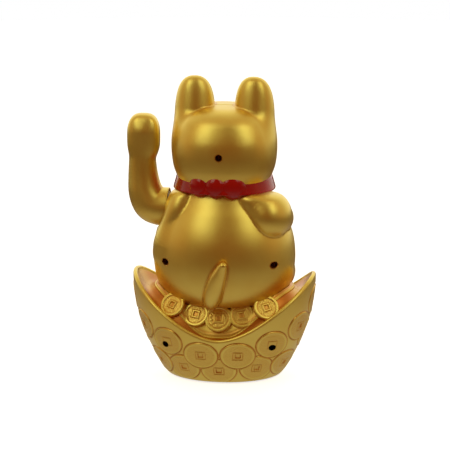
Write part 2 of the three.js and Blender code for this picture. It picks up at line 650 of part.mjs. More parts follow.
add(
  "battery_spring_contact",
  union(
    box(-27.8, -27.2, -5, 5, 5.5, 15.5),
    box(-27.8, -27.2, -1.2, 1.2, 15, BAY.roof + 5),
    along(new Coil(), 0.35, 6, 40),
  ),
  STEEL,
);

// ---- Switch ----
add(
  "switch_housing",
  box(-5.5, 5.5, SWITCH_Y - 3, SWITCH_Y + 3, plateTop + SEAT, plateTop + 5.6).subtract(
    box(-3.9, 3.9, SWITCH_Y - 1.5, SWITCH_Y + 1.5, plateTop - 1, plateTop + 3.4),
  ),
  STEEL,
);
add(
  "switch_slider",
  union(
    box(-3.6, -0.4, SWITCH_Y - 1.1, SWITCH_Y + 1.1, BOTTOM - 0.4, plateTop + 0.4),
    box(-3.2, -0.8, SWITCH_Y - 1.2, SWITCH_Y + 1.2, plateTop + 0.2, plateTop + 3.1),
  ),
  BLACK_PLASTIC,
);

// ---- Circuit board and coil ----
add(
  "circuit_board",
  box(-10, 10, -15.4, 15.4, BOARD_Z.low, BOARD_Z.high).subtract(
    union(...BOARD_POSTS.map((y) => postZ(0, y, 37, 42, 1.2, 12))),
  ),
  BOARD,
);
const bobbinHole = postZ(0, 0, 39, 49, 2.2, 16);
add(
  "coil_bobbin",
  union(
    postZ(0, 0, BOARD_Z.high + SEAT, 41.1, 8.6, 20),
    postZ(0, 0, BOARD_Z.high + SEAT, 47.3, 3.2, 16),
    postZ(0, 0, 46.5, 47.3, 8.6, 20),
  ).subtract(bobbinHole),
  WHITE_PLASTIC,
);
add("coil_winding", postZ(0, 0, 41.15, 46.45, 7.8, 24).subtract(postZ(0, 0, 40, 48, 3.3, 16)), COPPER);
add(
  "transistor",
  postZ(5, 6, 33.4, BOARD_Z.low - SEAT, 2.4, 16).subtract(box(0, 10, 7.2, 10, 30, 40)),
  BLACK_PLASTIC,
);
add("capacitor", postZ(-5, 6, 31.8, BOARD_Z.low - SEAT, 2.5, 16), MAGNET);
for (const [i, y] of BOARD_POSTS.entries())
  add(`board_screw_${i + 1}`, upward(7, 0, y, BOARD_Z.low), STEEL);

const wire = (...points) =>
  along(new THREE.CatmullRomCurve3(points.map((p) => new THREE.Vector3(...p))), 0.6, 7, 16);
const tabTop = BAY.roof + 5.1;
const padZ = BOARD_Z.low - 0.3; // wires end just under the board
const lead = (side) =>
  wire(
    [side * 26.5, 0, tabTop],
    [side * 26.2, -0.5, 28],
    [side * 18, -3, 31],
    [side * 9, -7, 33],
    [side * 7, -8, padZ],
  );
add("wire_positive", lead(1), RED_WIRE);
add("wire_negative", lead(-1), BLACK_PLASTIC);
const switchTop = [4, SWITCH_Y, plateTop + 5.7];
const switchLead = wire(switchTop, [4.4, SWITCH_Y, 14], [6, -14, 24], [4.5, -10, 32], [4, -9, padZ]);
add("wire_switch", switchLead, RED_WIRE);

export default part;
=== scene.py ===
"""A gold beckoning cat on an ingot of coins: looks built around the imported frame.

Shapes are worked out in millimetres in the frame's own axes (+Z up, front -Y, waving arm +X) and scaled to metres
when a mesh is made. Moulded shells come from distance functions, the ingot and its coins from displaced grids.
"""

import json
import math

import bmesh
import bpy
import numpy as np
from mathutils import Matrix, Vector
from mathutils.bvhtree import BVHTree
from mathutils.geometry import tessellate_polygon


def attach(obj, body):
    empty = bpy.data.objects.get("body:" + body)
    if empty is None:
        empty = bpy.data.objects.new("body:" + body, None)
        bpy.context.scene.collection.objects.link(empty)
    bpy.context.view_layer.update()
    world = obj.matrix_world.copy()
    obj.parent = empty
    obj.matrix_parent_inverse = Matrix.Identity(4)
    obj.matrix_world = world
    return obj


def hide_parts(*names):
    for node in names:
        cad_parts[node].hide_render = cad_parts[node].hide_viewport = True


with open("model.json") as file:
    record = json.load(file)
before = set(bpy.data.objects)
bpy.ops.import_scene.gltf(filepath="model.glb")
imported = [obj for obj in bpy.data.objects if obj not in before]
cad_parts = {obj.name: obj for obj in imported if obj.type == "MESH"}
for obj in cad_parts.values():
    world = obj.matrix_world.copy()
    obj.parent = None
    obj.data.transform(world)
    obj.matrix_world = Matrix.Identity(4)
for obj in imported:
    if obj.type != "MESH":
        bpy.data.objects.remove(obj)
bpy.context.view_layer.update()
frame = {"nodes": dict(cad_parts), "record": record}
MM = 0.001
rng = np.random.default_rng(7)

# ---------------------------------------------------------------- distance functions


def smin(a, b, k):
    h = np.clip(0.5 + 0.5 * (b - a) / k, 0, 1)
    return b + (a - b) * h - k * h * (1 - h)


def smax(a, b, k):
    return -smin(-a, -b, k)


def ellipsoid(p, centre, radii, yaw=0.0, pitch=0.0, n=2.0):
    """An ellipsoid, or a squarer one when n is above 2. yaw turns it about Z and pitch about its own X."""
    x, y, z = (p[i] - centre[i] for i in range(3))
    if yaw:
        c, s = math.cos(yaw), math.sin(yaw)
        x, y = c * x + s * y, -s * x + c * y
    if pitch:
        c, s = math.cos(pitch), math.sin(pitch)
        y, z = c * y + s * z, -s * y + c * z
    q = [abs(v) / r + 1e-6 for v, r in zip((x, y, z), radii)]
    k = (q[0] ** n + q[1] ** n + q[2] ** n) ** (1 / n)
    slope = sum((qi ** (n - 1) * k ** (1 - n) / r) ** 2 for qi, r in zip(q, radii))
    return (k - 1) / np.sqrt(slope)


def limb(p, points):
    """A smooth limb through (x, y, z, radius) points."""
    best = None
    for a, b in zip(points, points[1:]):
        ba = [b[i] - a[i] for i in range(3)]
        long2 = sum(v * v for v in ba)
        pa = [p[i] - a[i] for i in range(3)]
        h = np.clip((pa[0] * ba[0] + pa[1] * ba[1] + pa[2] * ba[2]) / long2, 0, 1)
        d = np.sqrt(sum((pa[i] - ba[i] * h) ** 2 for i in range(3))) - (a[3] + (b[3] - a[3]) * h)
        best = d if best is None else np.minimum(best, d)
    return best


def catmull(points, per=8):
    """Points of a smooth curve through rows of numbers."""
    rows = np.array(points, float)
    rows = np.vstack([2 * rows[0] - rows[1], rows, 2 * rows[-1] - rows[-2]])
    out = []
    for i in range(1, len(rows) - 2):
        p0, p1, p2, p3 = rows[i - 1 : i + 3]
        for t in np.arange(per) / per:
            out.append(
                0.5 * (2 * p1 + (p2 - p0) * t + (2 * p0 - 5 * p1 + 4 * p2 - p3) * t**2 + (3 * p1 - p0 - 3 * p2 + p3) * t**3)
            )
    out.append(rows[-2])
    return np.array(out)


class Outline:
    """Half-width against height, smoothly through (half-width, height) points."""

    def __init__(self, points):
        curve = catmull(points, 12)
        self.z = np.linspace(curve[0, 1], curve[-1, 1], 400)
        self.r = np.interp(self.z, curve[:, 1], curve[:, 0])
        self.slope = np.gradient(self.r, self.z)

    def at(self, z):
        return np.interp(z, self.z, self.r), np.interp(z, self.z, self.slope)


def turned(p, outline, depth, n=2.0):
    """A body of that outline whose level sections are ellipses, or squarer ones when n is above 2."""
    r, slope = outline.at(p[2])
    u, v = abs(p[0]) + 1e-6, abs(p[1]) / depth + 1e-6
    rho = (u**n + v**n) ** (1 / n)
    steep = (u / rho) ** (2 * n - 2) + ((v / rho) ** (n - 1) / depth) ** 2 + slope**2
    return (rho - r) / np.sqrt(steep)


def rod(p, axis, centre, radius):
    """An endless cylinder along axis 0, 1 or 2."""
    a, b = [i for i in range(3) if i != axis]
    return np.sqrt((p[a] - centre[a]) ** 2 + (p[b] - centre[b]) ** 2) - radius


def smooth_step(x, a, b):
    h = np.clip((x - a) / (b - a), 0, 1)
    return h * h * (3 - 2 * h)


def between(v, low, high):
    return np.maximum(low - v, v - high)


# ---------------------------------------------------------------- meshes


def surface(f, low, high, step):
    """Vertices and quads of the surface f = 0, with f negative inside."""
    axes = [np.arange(a, b + step, step, dtype=np.float32) for a, b in zip(low, high)]
    grid = (axes[0][:, None, None], axes[1][None, :, None], axes[2][None, None, :])
    value = np.broadcast_to(f(grid), [len(a) for a in axes]).astype(np.float32)
    inside = value < 0
    count = np.zeros([n - 1 for n in inside.shape], np.uint8)
    corners = [(i, j, k) for i in (0, 1) for j in (0, 1) for k in (0, 1)]
    nx, ny, nz = inside.shape
    for i, j, k in corners:
        count += inside[i : nx - 1 + i, j : ny - 1 + j, k : nz - 1 + k]
    cells = np.argwhere((count > 0) & (count < 8))
    at = [value[cells[:, 0] + i, cells[:, 1] + j, cells[:, 2] + k] for i, j, k in corners]
    total = np.zeros((len(cells), 3))
    hits = np.zeros(len(cells))
    for a, ca in enumerate(corners):
        for b, cb in enumerate(corners):
            if b <= a or sum(abs(u - v) for u, v in zip(ca, cb)) != 1:
                continue
            cross = (at[a] < 0) != (at[b] < 0)
            t = np.where(cross, at[a] / np.where(cross, at[a] - at[b], 1), 0)
            point = np.array(ca) + t[:, None] * (np.array(cb) - np.array(ca))
            total += np.where(cross[:, None], point, 0)
            hits += cross
    verts = (cells + total / hits[:, None]) * step + np.array([a[0] for a in axes])
    number = np.full(count.shape, -1, np.int64)
    number[tuple(cells.T)] = np.arange(len(cells))
    quads = []
    for axis in range(3):
        u, v = (axis + 1) % 3, (axis + 2) % 3
        first = [slice(None)] * 3
        second = [slice(None)] * 3
        first[axis], second[axis] = slice(None, -1), slice(1, None)
        change = inside[tuple(first)] != inside[tuple(second)]
        edge = np.argwhere(change)
        edge = edge[(edge[:, u] > 0) & (edge[:, v] > 0)]
        edge = edge[(edge[:, u] < inside.shape[u] - 1) & (edge[:, v] < inside.shape[v] - 1)]
        ring = []
        for du, dv in ((-1, -1), (0, -1), (0, 0), (-1, 0)):
            cell = edge.copy()
            cell[:, u] += du
            cell[:, v] += dv
            ring.append(number[tuple(cell.T)])
        quad = np.stack(ring, 1)
        flip = ~inside[tuple(edge.T)]
        quad[flip] = quad[flip][:, ::-1]
        quads.append(quad)
    verts = settle(f, verts, step)
    return verts, np.vstack(quads)


def settle(f, verts, step, rounds=2):
    """Moves the vertices onto f = 0."""
    d = 0.12 * step
    for _ in range(rounds):
        p = [verts[:, i] for i in range(3)]
        value = f(p)
        grad = np.empty_like(verts)
        for i in range(3):
            q = list(p)
            q[i] = p[i] + d
            high = f(q)
            q[i] = p[i] - d
            grad[:, i] = (high - f(q)) / (2 * d)
        size = np.maximum((grad**2).sum(1), 0.05)
        move = -value[:, None] * grad / size[:, None]
        length = np.linalg.norm(move, axis=1)
        verts = verts + move * np.minimum(1, 0.5 * step / np.maximum(length, 1e-9))[:, None]
    return verts


def enclosed(f, verts, reach):
    """How much nearby surface closes in on each vertex, from 0 in the open to 1 in a tight fold."""
    p = [verts[:, i] for i in range(3)]
    grad = np.stack([f([q + 0.1 * (i == k) for k, q in enumerate(p)]) - f([q - 0.1 * (i == k) for k, q in enumerate(p)]) for i in range(3)], 1)
    grad /= np.maximum(np.linalg.norm(grad, axis=1, keepdims=True), 1e-6)
    out = verts + grad * reach
    return np.clip(1 - f([out[:, i] for i in range(3)]) / reach, 0, 1)


def crease(verts, step, f, g):
    """Brings vertices close to both surfaces onto the line where f = 0 and g = 0 meet, so the edge is crisp."""
    p = [verts[:, i] for i in range(3)]
    near = (abs(f(p)) < 0.55 * step) & (abs(g(p)) < 0.55 * step)
    some = verts[near]
    for _ in range(3):
        some = settle(f, some, step, 1)
        some = settle(g, some, step, 1)
    verts[near] = some


def make(name, verts, faces, smooth=True, sharp=None):
    """A mesh object from millimetre vertices. faces is one array of quads or a list of faces."""
    mesh = bpy.data.meshes.new(name)
    if isinstance(faces, np.ndarray):
        wide = faces.shape[1]
        mesh.vertices.add(len(verts))
        mesh.vertices.foreach_set("co", (np.asarray(verts) * MM).astype(np.float32).ravel())
        mesh.loops.add(faces.size)
        mesh.loops.foreach_set("vertex_index", faces.astype(np.int32).ravel())
        mesh.polygons.add(len(faces))
        mesh.polygons.foreach_set("loop_start", np.arange(len(faces), dtype=np.int32) * wide)
        mesh.update(calc_edges=True)
        mesh.validate()
    else:
        mesh.from_pydata([tuple(v) for v in np.asarray(verts) * MM], [], [tuple(int(i) for i in g) for g in faces])
    obj = bpy.data.objects.new(name, mesh)
    bpy.context.scene.collection.objects.link(obj)
    mesh.polygons.foreach_set("use_smooth", np.full(len(mesh.polygons), smooth))
    if sharp:
        mesh.set_sharp_from_angle(angle=math.radians(sharp))
    return obj


def set_hollow(obj, values):
    """How far each vertex sits in a groove or hollow, which the gold paint reads to paint a darker orange there as
    painted shade and painted reflection.
    """
    attribute = obj.data.attributes.new("hollow", "FLOAT", "POINT")
    attribute.data.foreach_set("value", np.asarray(values, np.float32))


def dress(obj, body, material, *nodes, slot=None):
    obj.data.materials.clear()
    obj.data.materials.append(material)
    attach(obj, body)
    if nodes:
        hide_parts(*nodes)
    return obj


# ---------------------------------------------------------------- materials


def material(name):
    m = bpy.data.materials.new(name)
    m.use_nodes = True
    tree = m.node_tree
    return m, tree, tree.nodes["Principled BSDF"]


def node(tree, kind, **inputs):
    n = tree.nodes.new(kind)
    for key, value in inputs.items():
        name = key.replace("_", " ")
        if name in n.inputs:
            n.inputs[name].default_value = value
        else:
            setattr(n, key, value)
    return n


def ramp(tree, source, stops):
    n = tree.nodes.new("ShaderNodeValToRGB")
    while len(n.color_ramp.elements) < len(stops):
        n.color_ramp.elements.new(0.5)
    for element, (at, value) in zip(n.color_ramp.elements, stops):
        element.position = at
        element.color = (*value, 1) if isinstance(value, tuple) else (value, value, value, 1)
    tree.links.new(source, n.inputs["Fac"])
    return n.outputs["Color"]


def position(tree):
    return tree.nodes.new("ShaderNodeTexCoord").outputs["Object"]


def noise(tree, scale, detail=2.0, roughness=0.5, source=None):
    n = node(tree, "ShaderNodeTexNoise", Scale=scale, Detail=detail, Roughness=roughness)
    tree.links.new(source or position(tree), n.inputs["Vector"])
    return n.outputs["Fac"]


def bump(tree, bsdf, height, strength, distance):
    n = node(tree, "ShaderNodeBump", Strength=strength, Distance=distance)
    tree.links.new(height, n.inputs["Height"])
    tree.links.new(n.outputs["Normal"], bsdf.inputs["Normal"])


GOLD_HOLLOW_SHADE = (0.62, 0.20, 0.014)  # painted shade and painted reflection: a darker orange put into grooves and hollows
GOLD_DEEP, GOLD_MID, GOLD_PALE = (0.86, 0.62, 0.100), (0.89, 0.67, 0.118), (0.91, 0.71, 0.135)


def gold_paint():
    """Satin metallic paint on moulded plastic: fine flake, soft cloudiness and a thin clear coat, turned a darker
    orange as painted shade and painted reflection where the hollow attribute is high.
    """
    m, tree, bsdf = material("gold_paint")
    cloud = noise(tree, 55, 3)
    flake = node(tree, "ShaderNodeTexVoronoi", Scale=5200)
    tree.links.new(position(tree), flake.inputs["Vector"])
    tint = ramp(tree, cloud, [(0.3, GOLD_DEEP), (0.5, GOLD_MID), (0.72, GOLD_PALE)])
    # painted shade and painted reflection: the hollow attribute blends the gold towards a darker orange
    hollow = node(tree, "ShaderNodeAttribute", attribute_name="hollow")
    hollow_shade_mix = node(tree, "ShaderNodeMix", data_type="RGBA")
    tree.links.new(hollow.outputs["Fac"], hollow_shade_mix.inputs["Factor"])
    tree.links.new(tint, hollow_shade_mix.inputs["A"])
    hollow_shade_mix.inputs["B"].default_value = (*GOLD_HOLLOW_SHADE, 1)
    tree.links.new(hollow_shade_mix.outputs["Result"], bsdf.inputs["Base Color"])
    mix = node(tree, "ShaderNodeMath", operation="MULTIPLY_ADD")
    tree.links.new(cloud, mix.inputs[0])
    mix.inputs[1].default_value = 0.05
    mix.inputs[2].default_value = 0.385
    tree.links.new(mix.outputs[0], bsdf.inputs["Roughness"])
    bsdf.inputs["Metallic"].default_value = 1
    bsdf.inputs["Coat Weight"].default_value = 0.5
    bsdf.inputs["Coat Roughness"].default_value = 0.3
    bump(tree, bsdf, flake.outputs["Distance"], 0.12, 0.00003)
    return m


def red_paint():
    m, tree, bsdf = material("red_gloss_paint")
    cloud = noise(tree, 90, 2)
    tree.links.new(ramp(tree, cloud, [(0.3, (0.42, 0.002, 0.001)), (0.7, (0.5, 0.003, 0.0015))]), bsdf.inputs["Base Color"])
    bsdf.inputs["Roughness"].default_value = 0.24
    bsdf.inputs["Specular IOR Level"].default_value = 0.3
    bsdf.inputs["Coat Weight"].default_value = 0.6
    bsdf.inputs["Coat Roughness"].default_value = 0.09
    bump(tree, bsdf, noise(tree, 420, 2), 0.08, 0.0002)
    return m


def plain(name, dark, light, roughness, metallic=0.0, grain=900, strength=0.1, coat=0.0):
    m, tree, bsdf = material(name)
    tree.links.new(ramp(tree, noise(tree, 70, 4), [(0.3, dark), (0.7, light)]), bsdf.inputs["Base Color"])
    tree.links.new(
        ramp(tree, noise(tree, 260, 3), [(0.25, roughness * 0.85), (0.75, min(1.0, roughness * 1.15))]),
        bsdf.inputs["Roughness"],
    )
    bsdf.inputs["Metallic"].default_value = metallic
    bsdf.inputs["Coat Weight"].default_value = coat
    bump(tree, bsdf, noise(tree, grain, 2), strength, 0.0001)
    return m


def brushed(name, dark, light, roughness):
    """Plated steel with fine drawn lines."""
    m, tree, bsdf = material(name)
    place = node(tree, "ShaderNodeMapping")
    place.inputs["Scale"].default_value = (1, 1, 14)
    tree.links.new(position(tree), place.inputs["Vector"])
    lines = noise(tree, 600, 3, source=place.outputs["Vector"])
    tree.links.new(ramp(tree, lines, [(0.3, dark), (0.7, light)]), bsdf.inputs["Base Color"])
    bsdf.inputs["Metallic"].default_value = 1
    bsdf.inputs["Roughness"].default_value = roughness
    bump(tree, bsdf, lines, 0.1, 0.00005)
    return m


GOLD = gold_paint()
RED = red_paint()
STEEL = brushed("zinc_plated_steel", (0.42, 0.43, 0.44), (0.58, 0.58, 0.59), 0.32)
BELL = plain("polished_bell", (0.82, 0.56, 0.14), (0.9, 0.66, 0.2), 0.16, 1.0, 1500, 0.03)
BLACK = plain("black_moulded_plastic", (0.012, 0.012, 0.013), (0.022, 0.022, 0.024), 0.5, 0, 2600, 0.25)
WHITE = plain("white_moulded_plastic", (0.68, 0.67, 0.62), (0.76, 0.75, 0.7), 0.42, 0, 2200, 0.12)
MAGNET = plain("magnet_grey", (0.07, 0.07, 0.08), (0.13, 0.13, 0.14), 0.42, 0.8)
COPPER = plain("enamelled_copper", (0.42, 0.11, 0.03), (0.62, 0.22, 0.07), 0.3, 1.0)
BOARD = plain("green_board", (0.01, 0.11, 0.03), (0.018, 0.16, 0.045), 0.35, 0, 1400, 0.1, 0.3)
WRAP = plain("cell_wrap", (0.02, 0.09, 0.3), (0.035, 0.12, 0.36), 0.3, 0, 800, 0.03, 0.4)
RUBBER = plain("foot_rubber", (0.012, 0.012, 0.012), (0.03, 0.03, 0.03), 0.85, 0, 1800, 0.3)
WIRE_RED = plain("red_insulation", (0.4, 0.006, 0.006), (0.5, 0.012, 0.01), 0.4)
BY_SLOT = {
    "gold": GOLD,
    "red_gloss": RED,
    "bell_gold": BELL,
    "white_plastic": WHITE,
    "black_plastic": BLACK,
    "steel": STEEL,
    "magnet": MAGNET,
    "copper": COPPER,
    "board_green": BOARD,
    "cell_wrap": WRAP,
    "rubber": RUBBER,
    "red_wire": WIRE_RED,
}
for entry in frame["record"]["subparts"]:
    cad = frame["nodes"][entry["node"]]
    cad.data.materials.clear()
    cad.data.materials.append(BY_SLOT[entry["material_slot"]])

# ---------------------------------------------------------------- the cat

SEAM = 0.15
WALL = 2.4
FLOOR = 50.4
PIVOT = (0.0, 111.0)  # y, z of the waving arm's axis
HOLE = 2.2
SCREWS = [(0.0, 151.4, 14.0), (35.4, 80.4, 9.0), (-35.4, 80.4, 9.0)]  # x, z, seat of the head

TORSO = Outline(
    [(22, 47.5), (30, 50.0), (36.4, 52.6), (41.4, 58), (44.7, 66), (46.3, 76), (46.3, 85), (45, 94), (42, 103)]
    + [(37.5, 112), (33, 119), (29.6, 125), (27, 130), (24, 136)]
)
HEAD = Outline(
    [(22, 121), (26.6, 127), (29.4, 131.5), (31.6, 136), (33.3, 141.5), (34.1, 149), (33.6, 157), (32, 163)]
    + [(29.3, 169), (25.6, 175), (20.5, 182)]
)


def skull(p):
    side = turned(p, HEAD, 0.92, 2.25)
    top = p[2] - (180.0 - (p[1] + 3) ** 2 / 330 - p[0] ** 2 / 440)
    return smax(side, top, 8.0)


def ear(p, side):
    body = ellipsoid(p, (side * 19.3, 1.6, 171), (14.8, 12.4, 28.2), yaw=side * 0.2, n=2.3)
    spine_y = 0.1 - (p[2] - 160) * 0.21
    back = 0.979 * (np.sqrt((p[0] - side * 19.6) ** 2 + (p[1] - spine_y) ** 2) - 14.5)
    body = smax(body, back, 5.0)
    dish = ellipsoid(p, (side * 21.2, -10.6, 180), (9.0, 8.5, 15.2), yaw=side * 0.34)
    return smax(body, -dish, 1.2)


def face(p):
    cheeks = smin(
        ellipsoid(p, (5.2, -28.6, 144.4), (7.2, 6.6, 5.8)), ellipsoid(p, (-5.2, -28.6, 144.4), (7.2, 6.6, 5.8)), 1.2
    )
    chin = ellipsoid(p, (0, -27.5, 139.4), (5.5, 5.5, 4.2))
    return smin(cheeks, chin, 1.5)


def right_arm(p):
    """The bent arm that holds the coin: a full elbow behind, a forearm across the chest."""
    elbow = ellipsoid(p, (-31, 13.5, 110.8), (13.4, 17.6, 15.2))
    upper = limb(p, catmull([(-14.5, 17.5, 129.5, 6.4), (-19, 17.2, 123.5, 10.0), (-25, 15.8, 116.5, 12.8), (-31, 13.5, 110.5, 13.6)], 5))
    fore = limb(p, catmull([(-35, 2, 106, 10.5), (-33, -14, 105, 9.4), (-24, -28, 105, 8.6), (-14, -35, 105, 8.2)], 4))
    paw = ellipsoid(p, (-13, -35.6, 105), (9.0, 7.6, 8.6))
    arm = smax(smin(elbow, upper, 5), p[2] - 126.2, 4)
    return smin(smin(arm, fore, 5), paw, 2)


def shoulder(p):
    cap = ellipsoid(p, (27.0, 7.5, 114.0), (9.8, 13.5, 12.6))
    ridge = limb(p, catmull([(21, 13.5, 128.5, 5.2), (24.2, 14.5, 121, 7.4), (27.4, 15.4, 113, 8.5), (31.4, 15.4, 104, 8.1), (35.4, 15.2, 94, 7.1), (37.4, 13.5, 84, 6.0)], 5))
    return smax(smin(cap, ridge, 5), p[2] - 126.2, 4)


TAIL = catmull(
    [(4.4, 56.0, 4.8), (3.5, 59.8, 6.1), (2.3, 64.0, 6.4), (0.7, 69.2, 6.0), (-1.1, 74.6, 5.2), (-3.4, 80.4, 3.8), (-5.0, 84.2, 2.4)],
    4,
)


def tail(p):
    points = []
    for i, (x, z, r) in enumerate(TAIL):
        share = i / (len(TAIL) - 1)
        back = 0.88 * math.sqrt(max(float(TORSO.at(z)[0]) ** 2 - x * x, 1))
        points.append((x, back - r + 4.6 + 4.6 * share**2, z, r))
    return limb(p, points)


def hind_leg(p, side):
    thigh = ellipsoid(p, (side * 30, -15, 66), (15, 19, 14.5))
    foot = ellipsoid(p, (side * 21, -35, 58), (8.5, 11, 7), n=2.1)
    return smin(thigh, foot, 5)


def cat_outer(p):
    torso = np.maximum(turned(p, TORSO, 0.88), p[2] - 134)
    body = smin(torso, np.maximum(skull(p), 122 - p[2]), 2.0)
    body = smin(body, hind_leg(p, 1), 3.5)
    body = smin(body, hind_leg(p, -1), 3.5)
    body = smin(body, right_arm(p), 0.9)
    body = smin(body, shoulder(p), 1.6 + 6.0 * np.clip((108 - p[2]) / 18, 0, 1))
    spread = 1.0 + 5.0 * np.clip((abs(p[0]) - 17) / 12, 0, 1)
    body = smin(body, ear(p, 1), spread)
    body = smin(body, ear(p, -1), spread)
    body = smin(body, face(p), 3.0)
    body = smin(body, tail(p), 0.7)
    for x in (-24.2, -21, -17.8, 17.8, 21, 24.2):
        body = smax(body, -limb(p, [(x, -45.9, 56, 0.9), (x, -45.6, 60, 0.9), (x, -42, 63.6, 0.7)]), 0.6)
    for x in (-15.8, -13, -10.2):
        body = smax(body, -limb(p, [(x, -43.0, 101, 0.9), (x, -43.4, 105, 0.9), (x, -41.4, 109, 0.7)]), 0.6)
    return smax(body, FLOOR - p[2], 2.0)


def cat_shell(p, rear):
    y = p[1]
    outer = cat_outer(p)
    solid = np.maximum(outer, -(outer + WALL))
    for x, z, _ in SCREWS:
        tube = np.maximum(rod(p, 1, (x, 0, z), 3.5), between(y, SEAM, 60) if rear else between(y, -60, -SEAM))
        solid = np.minimum(solid, np.maximum(tube, outer))
    socket = np.maximum(rod(p, 0, (0, *PIVOT), 17.0), between(p[0], 31.2, 35.3))
    solid = np.minimum(solid, np.maximum(socket, outer))
    for x, z, seat in SCREWS:
        if rear:
            solid = np.maximum(solid, -np.maximum(rod(p, 1, (x, 0, z), HOLE), seat - y))
        solid = np.maximum(solid, -np.maximum(rod(p, 1, (x, 0, z), 1.3), outer + 3.0))
    opening = np.sqrt((p[0] / 24) ** 2 + (p[1] / 15) ** 2) * 15 - 15
    solid = np.maximum(solid, -np.maximum(opening, p[2] - 60))
    solid = np.maximum(solid, -np.maximum(rod(p, 0, (0, *PIVOT), 13.8), 35.3 - p[0]))
    solid = np.maximum(solid, -np.maximum(rod(p, 0, (0, *PIVOT), 11.6), 33.4 - p[0]))
    solid = np.maximum(solid, -np.maximum(rod(p, 0, (0, *PIVOT), 5.0), 20 - p[0]))
    if not rear:
        solid = np.maximum(solid, -np.maximum(rod(p, 1, (0, 0, 129), 1.35), y + 24))
        solid = np.maximum(solid, -np.maximum(rod(p, 1, (-6, 0, 82), 2.35), y + 20))
    return np.maximum(solid, SEAM - y if rear else y + SEAM)


STEP = 0.7
for rear in (True, False):
    low, high = ((-50, -1, 47), (50, 50, 203)) if rear else ((-50, -52, 47), (50, 1, 203))
    verts, faces = surface(lambda p: cat_shell(p, rear), low, high, STEP)
    crease(verts, STEP, cat_outer, lambda p: p[1] - (SEAM if rear else -SEAM) + 0 * p[0])
    if rear:
        for x, z, _ in SCREWS:
            crease(verts, STEP, cat_outer, lambda p: rod(p, 1, (x, 0, z), HOLE))
    shell = make("cat_rear" if rear else "cat_front", verts, faces, sharp=50)
    # painted shade and painted reflection: darker orange in folds and creases, along the bottom edge, low on the hips
    # and inside the screw holes
    hollow = np.clip(1.3 * enclosed(cat_outer, verts, 2.5) - 0.15, 0, 0.6)
    hem = 0.7 * (1 - smooth_step(verts[:, 2], 50.4, 57.5))
    hips = 0.5 * smooth_step(abs(verts[:, 0]), 33, 43) * (1 - smooth_step(verts[:, 2], 58, 70))
    hollow = np.maximum(np.maximum(hem, hips), hollow)
    for x, z, seat in SCREWS:
        bored = (np.hypot(verts[:, 0] - x, verts[:, 2] - z) < HOLE + 0.1) & (verts[:, 1] > seat)
        hollow = np.where(bored, 1.0, hollow)
    set_hollow(shell, hollow)
    dress(shell, "figurine", GOLD, "body_rear_shell" if rear else "body_front_shell", slot="gold")

# ---------------------------------------------------------------- waving arm

ARM_PATH = catmull(
    [(36.5, 0, 111, 12.5), (42.8, 0, 111.2, 12.6), (48.2, 0, 113.6, 12.3), (51.9, 0, 120.6, 11.2), (53.4, 0, 130, 9.9)]
    + [(53.9, 0.2, 141, 8.9), (53.8, 0.2, 149, 8.7), (53.5, 0, 155.5, 8.9), (53.2, -0.2, 161.0, 9.2)],
    5,
)


def arm_outer(p):
    tube = limb(p, ARM_PATH)
    paw = ellipsoid(p, (53.1, 0.0, 157.4), (10.7, 8.4, 15.6), n=2.8)
    arm = smin(tube, paw, 2.0)
    for x in (49.8, 53.1, 56.4):
        arm = smax(arm, -limb(p, [(x, -9.8, 162.5, 0.9), (x, -9.1, 167.0, 0.9), (x, -6.0, 172.0, 0.7)]), 0.6)
    return arm


def arm_shell(p):
    outer = np.maximum(arm_outer(p), 36.5 - p[0])
    cavity = np.maximum(arm_outer(p) + 1.9, p[2] - 168)
    cavity = np.minimum(cavity, np.maximum(rod(p, 0, (0, *PIVOT), 11.1), between(p[0], 30, 39.6)))
    return np.maximum(outer, -cavity)


verts, faces = surface(arm_shell, (34, -16, 95), (68, 16, 179), 0.55)
arm = make("waving_arm_skin", verts, faces, sharp=50)
# painted shade and painted reflection: darker orange in the arm's folds
set_hollow(arm, np.clip(1.2 * enclosed(arm_outer, verts, 2.5) - 0.1, 0, 0.8))
dress(arm, "arm", GOLD, "waving_arm", slot="gold")

# ---------------------------------------------------------------- collar

LOBES = [(13.5, 6.7, 7.5), (2.5, 6.6, 7.5), (-9.0, 7.9, 8.3)]  # x, half-width, half-height of the gathers


def collar_body(p):
    u, v = p[0], p[1] / 0.92
    rho = np.sqrt(u * u + v * v) + 1e-6
    flare = 29.9 - (p[2] - 130.4) * 0.275
    across = abs(rho - flare) - 1.3
    tall = abs(p[2] - 131.0 + p[0] ** 2 / 900) - 3.8
    band = np.sqrt(np.maximum(across, 0) ** 2 + np.maximum(tall, 0) ** 2) + np.minimum(np.maximum(across, tall), 0) - 0.9
    for x, w, h in LOBES:
        y = 0.92 * math.sqrt(30.2**2 - x * x) - 0.9
        band = smin(band, ellipsoid(p, (x, y, 131.2), (w, 4.2, h), yaw=-x / 32, n=2.1), 0.35)
    band = np.maximum(band, 28.8 - rho)
    peg = np.maximum(rod(p, 1, (0, 0, 129), 1.35), p[1] + 20)
    loop = rod(p, 2, (0, -33, 0), 1.45)
    return np.maximum(np.maximum(band, -peg), -loop)


ring = surface(collar_body, (-37, -35, 121), (37, 38, 141), 0.5)
dress(make("collar_band", *ring, sharp=60), "figurine", RED, "collar", slot="red_gloss")

BELL_AT = (0, -36.2, 121.5)


